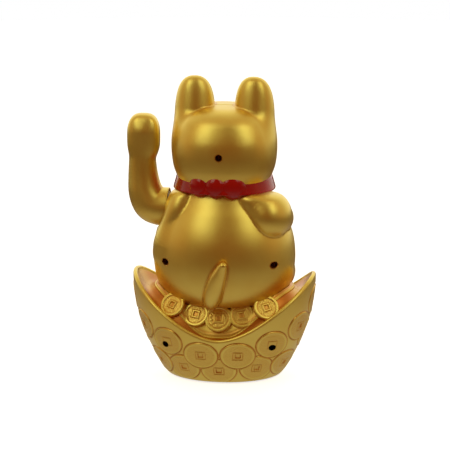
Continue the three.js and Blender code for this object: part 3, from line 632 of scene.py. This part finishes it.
def bell_body(p):
    x, y, z = (p[k] - BELL_AT[k] for k in range(3))
    round_ = np.sqrt(x * x + y * y + z * z) + 1e-6
    ball = round_ - 5.85
    belt = np.sqrt((np.sqrt(x * x + y * y) - 5.8) ** 2 + (z * 0.8) ** 2) - 0.55
    ball = smin(ball, belt, 0.3)
    slit = np.maximum(abs(x) - 0.55, z + 2.2)
    ends = np.minimum(rod(p, 2, (0, BELL_AT[1] - 4.2, 0), 1.1), rod(p, 2, (0, BELL_AT[1] + 4.2, 0), 1.1))
    ball = np.maximum(ball, -slit)
    ball = np.maximum(ball, -np.maximum(ends, z + 2))
    ball = np.maximum(ball, -(round_ - 4.9))
    loop = np.maximum(rod(p, 2, (0, -33, 0), 1.1), between(p[2], 124.5, 129.6))
    peg = np.maximum(rod(p, 1, (0, 0, 129), 1.0), between(p[1], -33.6, -28.2))
    return np.minimum(np.minimum(ball, loop), peg)


bell = surface(bell_body, (-7, -44, 114), (7, -27, 131), 0.3)
dress(make("bell_ball", *bell, sharp=50), "figurine", BELL, "bell", slot="bell_gold")

KOBAN_AT = (-6.0, 82.0)
KOBAN_BACK = -41.2


def koban_body(p):
    """An oval coin with a raised rim, hammered bars and a plain diamond, on a short peg."""
    u, v = (p[0] - KOBAN_AT[0]) / 11.0, (p[2] - KOBAN_AT[1]) / 15.5
    k = (abs(u) ** 2.3 + abs(v) ** 2.3 + 1e-9) ** (1 / 2.3)
    rim = (k - 1) * 11.0
    front_at = KOBAN_BACK - 2.6
    bars = 0.22 * np.clip(np.sin((p[2] - KOBAN_AT[1]) * 2.4) * 2, -1, 1)
    diamond = abs(u) * 11 / 4.2 + abs(v) * 15.5 / 6.0
    sign = 0.55 * (1 - smooth_step(diamond, 0.95, 1.12)) - 0.5 * (1 - smooth_step(abs(diamond - 0.62), 0.08, 0.18))
    inner = 1 - smooth_step(k, 0.80, 0.86)
    dish = 0.75 * (1 - smooth_step(k, 0.86, 0.9)) + inner * (bars * smooth_step(diamond, 1.1, 1.3) - sign)
    face_at = front_at + dish
    slab = np.maximum(face_at - p[1], p[1] - KOBAN_BACK) * 0.85
    body = smax(slab, rim, 0.5)
    peg = np.maximum(rod(p, 1, (KOBAN_AT[0], 0, KOBAN_AT[1]), 2.0), between(p[1], KOBAN_BACK - 1, KOBAN_BACK + 6))
    return np.minimum(body, peg)


koban = surface(koban_body, (-18, -45.5, 65.5), (6, -34, 98.5), 0.32)
dress(make("koban_oval", *koban, sharp=40), "figurine", GOLD, "koban_coin", slot="gold")

# ---------------------------------------------------------------- painted face

front_mesh = bpy.data.objects["cat_front"].data
front_tree = BVHTree.FromPolygons([v.co for v in front_mesh.vertices], [p.vertices for p in front_mesh.polygons])


def lay(name, grid, colour, slot, height=0.3, closed=True):
    """A thin patch of paint on the front moulding from rows of (x, z) points."""
    rows, cols = len(grid), len(grid[0])
    top, low = [], []
    for row in grid:
        for x, z in row:
            hit, normal, _, _ = front_tree.ray_cast(Vector((x * MM, -0.08, z * MM)), Vector((0, 1, 0)))
            if normal.y > 0:
                normal = -normal
            top.append(np.array(hit) / MM + np.array(normal) * height)
            low.append(np.array(hit) / MM - np.array(normal) * 0.35)
    verts = np.array(top + low)
    n = rows * cols
    faces = []
    wide = cols if closed else cols - 1
    for i in range(rows - 1):
        for j in range(wide):
            a, b = i * cols + j, i * cols + (j + 1) % cols
            c, d = b + cols, a + cols
            faces += [(a, b, c, d), (d + n, c + n, b + n, a + n)]
    loop = [(i * cols) for i in range(rows)] + [(rows - 1) * cols + j for j in range(1, cols)]
    loop += [i * cols + cols - 1 for i in range(rows - 2, -1, -1)] + list(range(cols - 2, 0, -1))
    if closed:
        loop = [(rows - 1) * cols + j for j in range(cols)]
        faces += [tuple(range(cols))[::-1], tuple(k + n for k in range(cols))]
    for a, b in zip(loop, loop[1:] + loop[:1]):
        faces.append((a, b, b + n, a + n))
    obj = make(name, verts, faces, sharp=50)
    bm = bmesh.new()
    bm.from_mesh(obj.data)
    bmesh.ops.recalc_face_normals(bm, faces=bm.faces)
    bm.to_mesh(obj.data)
    bm.free()
    return dress(obj, "figurine", colour, slot=slot)


def oval(x, z, a, b, tilt=0.0, rings=7, around=36):
    grid = []
    for i in range(rings):
        share = 0.08 + 0.92 * i / (rings - 1)
        row = []
        for j in range(around):
            t = j * math.tau / around
            u, v = a * share * math.cos(t), b * share * math.sin(t)
            row.append((x + u * math.cos(tilt) - v * math.sin(tilt), z + u * math.sin(tilt) + v * math.cos(tilt)))
        grid.append(row)
    return grid


def stroke(points, width, taper=0.3, per=5):
    """A brush stroke through (x, z) points, thinner at its ends."""
    curve = catmull(points, per)
    along = np.gradient(curve, axis=0)
    along /= np.linalg.norm(along, axis=1, keepdims=True)
    across = np.stack([-along[:, 1], along[:, 0]], 1)
    s_ = np.linspace(0, 1, len(curve))
    half = width / 2 * (taper + (1 - taper) * np.sin(math.pi * s_))[:, None]
    return [[tuple(c + w * h * a) for c, a, h in zip(curve, across, half)] for w in (-1, 0, 1)]


for side, name in ((1, "left"), (-1, "right")):
    lay(f"eye_white_{name}", oval(side * 12.6, 153.0, 4.6, 5.4, side * -0.15), WHITE, "white_plastic", 0.25)
    lay(f"eye_pupil_{name}", oval(side * 12.0, 152.6, 2.7, 3.9), BLACK, "black_plastic", 0.5)
    lay(f"eye_glint_{name}", oval(side * 12.0 + 0.9, 154.4, 0.75, 0.95, 0, 4, 20), WHITE, "white_plastic", 0.7)
    lash = [(side * 7.4, 151.4), (side * 8.6, 156.0), (side * 12.4, 158.9), (side * 16.6, 157.0), (side * 18.4, 153.6)]
    lay(f"eye_lash_{name}", stroke(lash, 1.2), BLACK, "black_plastic", closed=False)
    brow = [(side * 9.4, 164.2), (side * 12.6, 165.6), (side * 15.8, 164.6)]
    lay(f"brow_{name}", stroke(brow, 1.5), BLACK, "black_plastic", closed=False)
    lay(f"ear_paint_{name}", oval(side * 21.4, 181.0, 5.4, 9.4, side * -0.12, 9, 40), RED, "red_gloss", 0.2)
    smile = [(side * 0.5, 141.0), (side * 2.6, 138.9), (side * 5.4, 138.6), (side * 7.8, 140.6)]
    lay(f"smile_{name}", stroke(smile, 1.2), RED, "red_gloss", closed=False)
    for k, (z0, z1) in enumerate(((146.4, 149.4), (143.8, 144.6), (141.4, 139.8))):
        hair = [(side * 11.6, z0), (side * 16.0, (z0 + z1) / 2 + 0.4), (side * 21.0, z1)]
        lay(f"whisker_{name}_{k + 1}", stroke(hair, 0.75), BLACK, "black_plastic", 0.25, closed=False)
lay("nose", oval(0, 147.6, 2.3, 1.7, 0, 5, 28), RED, "red_gloss", 0.5)

# ---------------------------------------------------------------- ingot

BOTTOM = 1.0


def flare(z):
    return 1 - (1 - np.clip((z - BOTTOM) / 66, 0, 1)) ** 2


def rim_z(t):
    return 33.0 + 36.5 * np.abs(np.sin(t)) ** 1.8


def ledge_z(t):
    return 33.5 + 26 * smooth_step(np.abs(np.sin(t)), 0.12, 1.0)


def ring_point(a, b, t, z):
    return np.stack([a * np.sin(t), b * np.cos(t), z + 0 * t], -1)


def wall_point(z, t, inset=0.0):
    q = flare(z)
    return ring_point(38 + 22 * q - inset, 30 + 18 * q - inset, t, z)


COIN_R = 11.6
COIN_SQUASH = 0.86  # height of a wall coin over its width
COIN_SPOTS = [(-0.8, 10.0), (31.5, 10.7), (-34, 11.4), (62, 12), (-66, 12), (90, 29), (-90, 29), (90, 52), (-90, 52)] + [
    (67.5, 36), (-69, 37.4), (13, 21.2), (40, 28.4), (-42.5, 28.0), (-15.8, 21.4)
]  # turn angle in degrees and height, lower coins first


def line(x, at, width, depth):
    """A groove across x."""
    return -depth * np.exp(-(((x - at) / width) ** 2))


def pebble(u, v, seed, scale):
    """Fine uneven grain."""
    g = np.random.default_rng(seed)
    total = 0 * u
    for _ in range(9):
        a, ph = g.uniform(0, math.tau), g.uniform(0, math.tau)
        k = scale * g.uniform(0.7, 1.6)
        total = total + np.sin(k * (u * math.cos(a) + v * math.sin(a)) + ph)
    return np.tanh(total / 3.5)


def wall_coin(u, v, seed, pierced):
    """Relief of one flat coin on the ingot's side in millimetres, and how much of it is groove, which is painted darker
    as shade, with a little over the coin's field.
    """
    v = v / COIN_SQUASH
    r = np.sqrt(u * u + v * v)
    square = np.maximum(abs(u), abs(v))
    height = 0.30 * smooth_step(r, COIN_R - 1.9, COIN_R - 1.5) * (1 - smooth_step(r, COIN_R - 0.35, COIN_R))
    grain = pebble(u, v, seed, 3.4) * 0.15
    height = height + grain * (1 - smooth_step(r, COIN_R - 2.5, COIN_R - 2.0)) * smooth_step(square, 3.7, 4.0)
    frame_line = line(square, 3.3, 0.34, 0.5)
    height = height + frame_line
    groove = np.maximum(-frame_line * 1.3, 0.24 * (1 - smooth_step(r, COIN_R - 2.4, COIN_R - 1.6)))
    if not pierced:
        pit = 1 - smooth_step(square, 1.6, 1.95)
        height = height - 0.8 * pit
        groove = np.maximum(groove, 0.8 * smooth_step(square, 1.1, 1.6) * (1 - smooth_step(square, 1.9, 2.25)))
    return height, groove, r < COIN_R


def wall_relief(points):
    """Displacement of points on the ingot's outer wall and how grooved each is, for both halves; the grooved share
    becomes painted shade and painted reflection.
    """
    out = np.zeros(points.shape[:-1])
    dark = np.zeros(points.shape[:-1])
    for seed, (deg, z) in enumerate(COIN_SPOTS):
        t = math.radians(deg)
        centre = wall_point(np.array(z), np.array(t))
        up = wall_point(np.array(z + 0.5), np.array(t)) - wall_point(np.array(z - 0.5), np.array(t))
        along = wall_point(np.array(z), np.array(t + 0.01)) - wall_point(np.array(z), np.array(t - 0.01))
        up, along = up / np.linalg.norm(up), along / np.linalg.norm(along)
        away = np.cross(up, along)
        d = points - centre
        u, v, w = d @ along, d @ up, d @ away
        near = abs(w) < 9
        height, groove, covers = wall_coin(u, v, seed, abs(abs(deg) - 41) < 2 and z > 20)
        edge = line(np.hypot(u, v / COIN_SQUASH), COIN_R + 0.15, 0.5, 0.6)
        ring = near & ~covers & (edge < -0.01)
        out = np.where(near & covers, height + edge, np.where(ring, np.minimum(out, edge), out))
        # painted shade in the ring groove around each coin
        ring_dark = np.clip(-edge * 1.4, 0, 1)
        dark = np.where(near & covers, np.maximum(groove, ring_dark), np.where(ring, np.maximum(dark, ring_dark), dark))
    return out, np.clip(dark, 0, 1)


def ingot_half(rear):
    cols = 470
    start = math.asin(SEAM / 48.0)
    t = np.linspace(-math.pi / 2 + start, math.pi / 2 - start, cols)
    rows = []
    n_wall = 140
    top = rim_z(t) - 2.0
    for s in np.linspace(0, 1, n_wall):
        base = wall_point(BOTTOM + s * (top - BOTTOM), t)
        if s < 0.06:
            tuck = 1 - math.sqrt(max(0, 1 - (1 - s / 0.06) ** 2))
            base = wall_point(BOTTOM + s * (top - BOTTOM), t, 1.2 * tuck)
        rows.append(base)
    wall = np.stack(rows)
    normal = np.cross(np.gradient(wall, axis=0), np.gradient(wall, axis=1))
    normal /= np.linalg.norm(normal, axis=-1, keepdims=True)
    fade = smooth_step(np.linspace(0, 1, n_wall), 0.02, 0.06)[:, None]
    below = (rim_z(t)[None, :] - wall[..., 2])
    fade = fade * smooth_step(below, 2.4, 4.2)
    relief, grooved = wall_relief(wall)
    wall = wall + normal * (relief * fade)[..., None]
    # painted shade and painted reflection in the wall's grooves
    hollow = list(grooved * fade)
    rows = list(wall)
    for deg in np.linspace(15, 180, 12):  # rounded rim
        a = math.radians(deg)
        rows.append(wall_point(rim_z(t) - 2.0, t, 1.45 - 1.45 * math.cos(a)) + np.array([0, 0, 1.9 * math.sin(a)]))
        hollow.append(0 * t)
    inner = wall_point(rim_z(t) - 2.0, t, 2.9)
    edge = ring_point(46.1, 37.1, t, ledge_z(t) - 0.8)
    for s in np.linspace(0.06, 1, 16):  # hollowed lip down to the mound
        point = inner * (1 - s) + edge * s
        point[:, 2] -= (2.6 + 2.2 * np.sin(t) ** 2) * math.sin(math.pi * s)
        rows.append(point)
        # painted shade and painted reflection: the hollowed lip is painted deep orange, paler toward its ends
        hollow.append((0.8 + 0.2 * s) * (1 - 0.45 * smooth_step(abs(np.sin(t)), 0.93, 1.0)))
    slope = (6 + 58 * np.sin(t) ** 2) * 4 / 46
    for inset, drop in ((4.0, 2.0), (4.0, 4.4)):
        rows.append(ring_point(46 - inset, 37 - inset, t, ledge_z(t) - drop - slope))
    for s in np.linspace(1, 0, 8):
        rows.append(wall_point(4.9 + s * (rim_z(t) - 9 - 4.9), t, WALL + 0.3))
    rows.append(wall_point(4.65, t, WALL + 2.4))
    rows.append(wall_point(3.05, t, WALL + 2.4))
    rows.append(wall_point(3.05, t, WALL))
    rows.append(wall_point(BOTTOM, t, WALL))
    # painted shade: the inside of the ingot is painted part way to the darker orange
    hollow += [0.6 + 0 * t] * (len(rows) - len(hollow))
    grid = np.stack(rows)
    grid[..., 1] = np.maximum(grid[..., 1], SEAM)
    grid[:, 0, 1] = SEAM
    grid[:, -1, 1] = SEAM
    r, c = grid.shape[:2]
    index = np.arange(r * c).reshape(r, c)
    nxt = np.roll(index, -1, axis=0)
    quads = np.stack([index[:, :-1], index[:, 1:], nxt[:, 1:], nxt[:, :-1]], -1).reshape(-1, 4)
    verts = grid.reshape(-1, 3)
    faces = [tuple(q) for q in quads]
    for column, flip in ((0, False), (c - 1, True)):
        loop = index[:, column]
        for tri in tessellate_polygon([[Vector((verts[i][0], verts[i][2], 0)) for i in loop]]):
            ids = [int(loop[k]) for k in tri]
            faces.append(tuple(ids))
    if not rear:
        verts = verts * np.array([1, -1, 1])
    obj = make("ingot_rear" if rear else "ingot_front", verts, faces)
    set_hollow(obj, np.stack(hollow).ravel())
    bm = bmesh.new()
    bm.from_mesh(obj.data)
    bmesh.ops.recalc_face_normals(bm, faces=bm.faces)
    if rear:
        for x, z in ((35.0, 26.0), (-35.0, 26.0)):
            bore(bm, x, z)
    bm.to_mesh(obj.data)
    bm.free()
    obj.data.set_sharp_from_angle(angle=math.radians(62))
    return obj


def bore(bm, x, z):
    """Opens a round screw hole through both skins of the rear wall and joins their edges."""
    bm.verts.ensure_lookup_table()
    gone = []
    for face in bm.faces:
        for v in face.verts:
            if math.hypot(v.co.x / MM - x, v.co.z / MM - z) < HOLE + 0.12 and v.co.y / MM > 12:
                gone.append(face)
                break
    bmesh.ops.delete(bm, geom=gone, context="FACES")
    edges = [
        e
        for e in bm.edges
        if e.is_boundary and all(math.hypot(v.co.x / MM - x, v.co.z / MM - z) < HOLE + 1.6 for v in e.verts)
    ]
    for v in {v for e in edges for v in e.verts}:
        dx, dz = v.co.x / MM - x, v.co.z / MM - z
        d = math.hypot(dx, dz)
        v.co.x, v.co.z = (x + dx / d * HOLE) * MM, (z + dz / d * HOLE) * MM
    bmesh.ops.bridge_loops(bm, edges=edges)
    loose = [v for v in bm.verts if not v.link_faces]
    bmesh.ops.delete(bm, geom=loose, context="VERTS")


dress(ingot_half(True), "figurine", GOLD, "ingot_rear_shell", slot="gold")
dress(ingot_half(False), "figurine", GOLD, "ingot_front_shell", slot="gold")

# ---------------------------------------------------------------- coin mound


belly_z = np.linspace(50.4, 78, 200)
belly_r = np.maximum.accumulate(TORSO.at(belly_z)[0])


def mound_z(share, t):
    """The heap climbs from its edge until it tucks under the cat."""
    x, y = 46 * share * np.sin(t), 37 * share * np.cos(t)
    reach = np.hypot(46 * np.sin(t), 37 * np.cos(t))
    under_cat = np.interp(np.hypot(x, y / 0.88), belly_r, belly_z) - 0.15
    steep = 1.62 - 0.85 * smooth_step(np.abs(np.sin(t)), 0.15, 0.6)
    return smin(ledge_z(t) + (1 - share) * reach * steep, under_cat, 0.5)


def mound():
    cols = 400
    t = np.arange(cols) * math.tau / cols
    rows = [ring_point(1, 0.8, t, 47.6)]
    hollow = [0 * t]
    outs = np.concatenate([np.linspace(0.2, 0.6, 5), np.linspace(0.63, 0.97, 44)])
    for s in outs:
        rows.append(ring_point(46 * s, 37 * s, t, mound_z(s, t) - (1.5 if s > 0.88 else 2.2)))
        hollow.append(0 * t)
    rows.append(ring_point(46, 37, t, ledge_z(t) - 1.5))
    # painted shade where the heap steps down to the lip
    hollow.append(0.5 + 0 * t)
    for deg in range(0, 121, 20):  # a rounded bead along the heap's edge
        a = math.radians(deg)
        bead = 0.62 * math.cos(a)
        rows.append(ring_point(45.38 + bead, 36.38 + bead, t, ledge_z(t) - 0.2 + 0.62 * math.sin(a)))
        hollow.append(0 * t)
    for s in outs[::-1]:
        z = mound_z(s, t)
        groove = math.exp(-(((s - 0.957) / 0.012) ** 2))
        rows.append(ring_point(46 * s, 37 * s, t, z - 0.3 * groove))
        # painted shade: darker in the groove near the heap's edge, a little all over, and more toward the sides
        hollow.append(np.clip(0.5 * groove + 0.15, 0, 1) + 0.25 * smooth_step(abs(np.sin(t)), 0.25, 0.6))
    rows.append(ring_point(1, 0.8, t, 49.8))
    hollow.append(0 * t)
    grid = np.stack(rows)
    r, c = grid.shape[:2]
    index = np.arange(r * c).reshape(r, c)
    right = np.roll(index, -1, axis=1)
    quads = np.stack([index[:-1], right[:-1], right[1:], index[1:]], -1).reshape(-1, 4)
    faces = [tuple(q) for q in quads] + [tuple(index[0][::-1]), tuple(index[-1])]
    return grid.reshape(-1, 3), faces, np.stack(hollow).ravel()


def coin_grid(radius, step, height):
    """A round grid whose edge lies on the circle: vertices (u, v, height) and quads, and its edge loop."""
    n = int(radius / step) + 1
    line_ = (np.arange(-n, n + 1)) * step
    u, v = np.meshgrid(line_, line_, indexing="ij")
    inside = np.hypot(u, v) < radius - 0.3 * step
    index = np.arange(u.size).reshape(u.shape)
    keep = inside[:-1, :-1] & inside[1:, :-1] & inside[1:, 1:] & inside[:-1, 1:]
    quads = np.stack([index[:-1, :-1], index[1:, :-1], index[1:, 1:], index[:-1, 1:]], -1)[keep]
    used = np.unique(quads)
    remap = np.full(u.size, -1)
    remap[used] = np.arange(len(used))
    u, v = u.ravel()[used], v.ravel()[used]
    quads = remap[quads]
    pairs = {}
    for q in quads:
        for a, b in zip(q, np.roll(q, -1)):
            pairs[(int(a), int(b))] = True
    follow = {a: b for a, b in pairs if (b, a) not in pairs}
    start = next(iter(follow))
    loop, at = [start], follow[start]
    while at != start:
        loop.append(at)
        at = follow[at]
    r = np.hypot(u[loop], v[loop])
    u[loop], v[loop] = u[loop] / r * radius, v[loop] / r * radius
    return u, v, *height(u, v), quads, loop


MOUND_COIN_R = 8.35


def mound_coin_height(seed):
    def height(u, v):
        r = np.hypot(u, v)
        square = np.maximum(abs(u), abs(v))
        h = 0.5 * smooth_step(r, 6.2, 6.6) - 0.3 * smooth_step(r, MOUND_COIN_R - 0.4, MOUND_COIN_R)
        h = h + pebble(u, v, seed, 3.6) * 0.12 * (1 - smooth_step(r, 5.4, 5.9)) * smooth_step(square, 3.0, 3.3)
        h = h + line(r, 6.0, 0.3, 0.12)
        h = h + 0.55 * smooth_step(square, 1.45, 1.75) * (1 - smooth_step(square, 2.55, 2.85))
        h = h - 0.45 * (1 - smooth_step(square, 1.35, 1.6))
        # painted shade and painted reflection: darker in the ring groove, the square frame and the pit, and a little
        # over the coin's field
        dark = np.maximum(np.exp(-(((r - 6.05) / 0.35) ** 2)) * 0.7, np.exp(-(((square - 3.1) / 0.3) ** 2)) * 0.6)
        dark = np.maximum(dark, 0.7 * (1 - smooth_step(square, 1.3, 1.6)))
        return h, np.maximum(dark, 0.22 * (1 - smooth_step(r, 5.6, 6.0)))

    return height


def above_heap(point):
    t = math.atan2(point.x / 46, point.y / 37)
    return point.z - float(mound_z(math.hypot(point.x / 46, point.y / 37), np.array(t)))


def mound_coins():
    verts, faces, hollow = [], [], []
    step = 0.25
    order = {0: 0.9, 23: 0.3, 44: -0.35}
    for k, deg in enumerate((0, 23, -23, 44, -44, 180, 157, 203, 136, 224)):
        from_end = min(abs(deg), abs(deg - 180))
        t = math.radians(deg)
        centre = Vector((36.5 * math.sin(t), 30 * math.cos(t), 44 + 13 * math.sin(t) ** 2))
        outward = Vector((math.sin(t), math.cos(t), 0.22))
        while above_heap(centre) < 0.2:
            centre += outward * 0.1
        slope = Vector([above_heap(centre + d) - above_heap(centre - d) for d in (Vector((1, 0, 0)), Vector((0, 1, 0)))])
        lean = Vector((math.sin(t) * 0.88, math.cos(t) * 0.88, 0.47))
        face = (Vector((slope.x / 2, slope.y / 2, 1)).normalized() * 0.5 + lean * 0.5).normalized()
        side = Vector((math.cos(t), -math.sin(t), 0))
        side = (side - face * side.dot(face)).normalized()
        up = face.cross(side)
        if up.z < 0:
            up = -up
        centre += face * (0.9 + order[from_end])
        u, v, h, dark, quads, loop = coin_grid(MOUND_COIN_R, step, mound_coin_height(40 + k))
        u, v = (w * (1.06 if from_end == 0 else 1.0) for w in (u, v))
        side, up, face = (np.array(w) for w in (side, up, face))
        top = np.array(centre) + u[:, None] * side + v[:, None] * up + h[:, None] * face
        base = len(verts)
        verts.extend(top)
        hollow.extend(dark)
        flip = np.dot(np.cross(side, up), face) < 0
        faces.extend([tuple(base + q[::-1]) if flip else tuple(base + q) for q in quads])
        low = len(verts)
        verts.extend(top[loop] - face * 2.4)
        # painted shade on each coin's edge
        hollow.extend([0.75] * len(loop))
        n = len(loop)
        for i in range(n):
            j = (i + 1) % n
            q = (base + loop[i], low + i, low + j, base + loop[j])
            faces.append(q[::-1] if flip else q)
        cap = tuple(low + i for i in range(n))
        faces.append(cap if flip else cap[::-1])
    return verts, faces, hollow


verts, faces, hollow = mound()
mound_obj = make("coin_mound_skin", verts, faces, sharp=55)
set_hollow(mound_obj, hollow)
verts, faces, hollow = mound_coins()
coins_obj = make("mound_coins", verts, faces, sharp=60)
set_hollow(coins_obj, hollow)
dress(mound_obj, "figurine", GOLD, "coin_mound", slot="gold")
dress(coins_obj, "figurine", GOLD, slot="gold")

# ---------------------------------------------------------------- studio

scene = bpy.context.scene
scene.view_settings.view_transform = "Standard"

AZIMUTH, ELEVATION, DISTANCE = math.radians(187.2), math.radians(14), 2.4
TARGET = Vector((-0.0003, 0, 0.0996))
toward = Vector(
    (math.sin(AZIMUTH) * math.cos(ELEVATION), -math.cos(AZIMUTH) * math.cos(ELEVATION), math.sin(ELEVATION))
)
camera_data = bpy.data.cameras.new("camera")
camera = bpy.data.objects.new("camera", camera_data)
scene.collection.objects.link(camera)
camera.location = TARGET + toward * DISTANCE
camera.rotation_mode = "QUATERNION"
camera.rotation_quaternion = toward.to_track_quat("Z", "Y")
PIXELS_PER_M = 1530 / 450
camera_data.lens = 36 * PIXELS_PER_M * DISTANCE
camera_data.clip_start = 0.01
scene.camera = camera


def softbox(name, azimuth, elevation, distance, size, power, colour=(1, 1, 1)):
    """An area light in a direction counted from the camera's azimuth, aimed at the cat."""
    a, e = AZIMUTH + math.radians(azimuth), math.radians(elevation)
    away = Vector((math.sin(a) * math.cos(e), -math.cos(a) * math.cos(e), math.sin(e)))
    data = bpy.data.lights.new(name, "AREA")
    data.shape = "RECTANGLE"
    data.size, data.size_y = size
    data.energy = power
    data.color = colour
    light = bpy.data.objects.new(name, data)
    scene.collection.objects.link(light)
    light.location = Vector((0, 0, 0.1)) + away * distance
    light.rotation_mode = "QUATERNION"
    light.rotation_quaternion = away.to_track_quat("Z", "Y")
    return light


softbox("softbox_right", 44, 40, 0.9, (0.40, 0.60), 1.12, (0.87, 1.0, 0.8))
softbox("softbox_left", -44, 40, 0.9, (0.40, 0.60), 1.2, (0.87, 1.0, 0.8))

world = bpy.data.worlds.new("studio")
scene.world = world
world.use_nodes = True
tree = world.node_tree
tree.nodes.clear()


def math_node(operation, a, b=None, c=None):
    n = tree.nodes.new("ShaderNodeMath")
    n.operation = operation
    for i, value in enumerate((a, b, c)):
        if value is None:
            continue
        if isinstance(value, (int, float)):
            n.inputs[i].default_value = value
        else:
            tree.links.new(value, n.inputs[i])
    return n.outputs[0]


coord = tree.nodes.new("ShaderNodeTexCoord")
split = tree.nodes.new("ShaderNodeSeparateXYZ")
tree.links.new(coord.outputs["Generated"], split.inputs[0])
ca, sa = math.sin(AZIMUTH), -math.cos(AZIMUTH)
facing = math_node(
    "ADD", math_node("MULTIPLY", split.outputs["X"], ca), math_node("MULTIPLY", split.outputs["Y"], sa)
)
# A brown room behind the camera, a white backdrop beyond the object.
share = math_node("MULTIPLY_ADD", facing, 0.5, 0.5)
room = ramp(
    tree,
    share,
    [(0.0, (0.88, 0.86, 0.82)), (0.2, (0.78, 0.74, 0.60)), (0.4, (0.40, 0.32, 0.23)), (0.6, (0.42, 0.25, 0.14))]
    + [(0.8, (0.12, 0.05, 0.026)), (1.0, (0.15, 0.045, 0.012))],
)
lit = tree.nodes.new("ShaderNodeBackground")
tree.links.new(room, lit.inputs["Color"])
lit.inputs["Strength"].default_value = 1.3
seen = tree.nodes.new("ShaderNodeBackground")
seen.inputs["Color"].default_value = (1, 1, 1, 1)
path = tree.nodes.new("ShaderNodeLightPath")
choose = tree.nodes.new("ShaderNodeMixShader")
tree.links.new(path.outputs["Is Camera Ray"], choose.inputs[0])
tree.links.new(lit.outputs[0], choose.inputs[1])
tree.links.new(seen.outputs[0], choose.inputs[2])
out = tree.nodes.new("ShaderNodeOutputWorld")
tree.links.new(choose.outputs[0], out.inputs["Surface"])


def floor_sheet():
    """A large round sheet under the object. The camera sees it pale, an even glow over plain diffuse, with a soft
    contact shadow; all other rays see only a painted glow, warm near the centre and dark further out, standing in for
    light bounced off the floor.
    """
    bm = bmesh.new()
    rings, around = 24, 96
    previous = [bm.verts.new((0, 0, 0))] * around
    for i in range(1, rings + 1):
        radius = 0.02 * 1.32 ** (i * 0.62)
        circle = [
            bm.verts.new((radius * math.cos(k * math.tau / around), radius * math.sin(k * math.tau / around), 0))
            for k in range(around)
        ]
        for k in range(around):
            j = (k + 1) % around
            if i == 1:
                bm.faces.new((previous[0], circle[k], circle[j]))
            else:
                bm.faces.new((previous[k], circle[k], circle[j], previous[j]))
        previous = circle
    mesh = bpy.data.meshes.new("floor_sheet")
    bm.to_mesh(mesh)
    bm.free()
    obj = bpy.data.objects.new("floor_sheet", mesh)
    scene.collection.objects.link(obj)
    m, tree_, bsdf = material("floor_paper_glowing")
    tree_.links.new(ramp(tree_, noise(tree_, 8, 2), [(0.3, (0.86, 0.86, 0.86)), (0.7, (0.9, 0.9, 0.9))]), bsdf.inputs["Base Color"])
    bsdf.inputs["Roughness"].default_value = 0.9
    glow = tree_.nodes.new("ShaderNodeEmission")
    glow.inputs["Strength"].default_value = 0.75
    add = tree_.nodes.new("ShaderNodeAddShader")
    light_path = tree_.nodes.new("ShaderNodeLightPath")
    pick = tree_.nodes.new("ShaderNodeMixShader")
    tree_.links.new(bsdf.outputs[0], add.inputs[0])
    tree_.links.new(glow.outputs[0], add.inputs[1])
    tree_.links.new(light_path.outputs["Is Camera Ray"], pick.inputs[0])
    far = tree_.nodes.new("ShaderNodeVectorMath")
    far.operation = "LENGTH"
    tree_.links.new(position(tree_), far.inputs[0])
    # painted light: everything but the camera sees the floor only as a glow, warm and bright near the centre and dark
    # further out, standing in for light bounced off the floor
    bounce = tree_.nodes.new("ShaderNodeEmission")
    bounce_glow_colour = ramp(tree_, far.outputs["Value"], [(0.08, (0.45, 0.40, 0.37)), (0.14, (0.42, 0.35, 0.30)), (0.3, (0.17, 0.11, 0.07)), (0.6, (0.10, 0.055, 0.035))])
    tree_.links.new(bounce_glow_colour, bounce.inputs["Color"])
    tree_.links.new(bounce.outputs[0], pick.inputs[1])
    tree_.links.new(add.outputs[0], pick.inputs[2])
    tree_.links.new(pick.outputs[0], tree_.nodes["Material Output"].inputs["Surface"])
    mesh.materials.append(m)


floor_sheet()
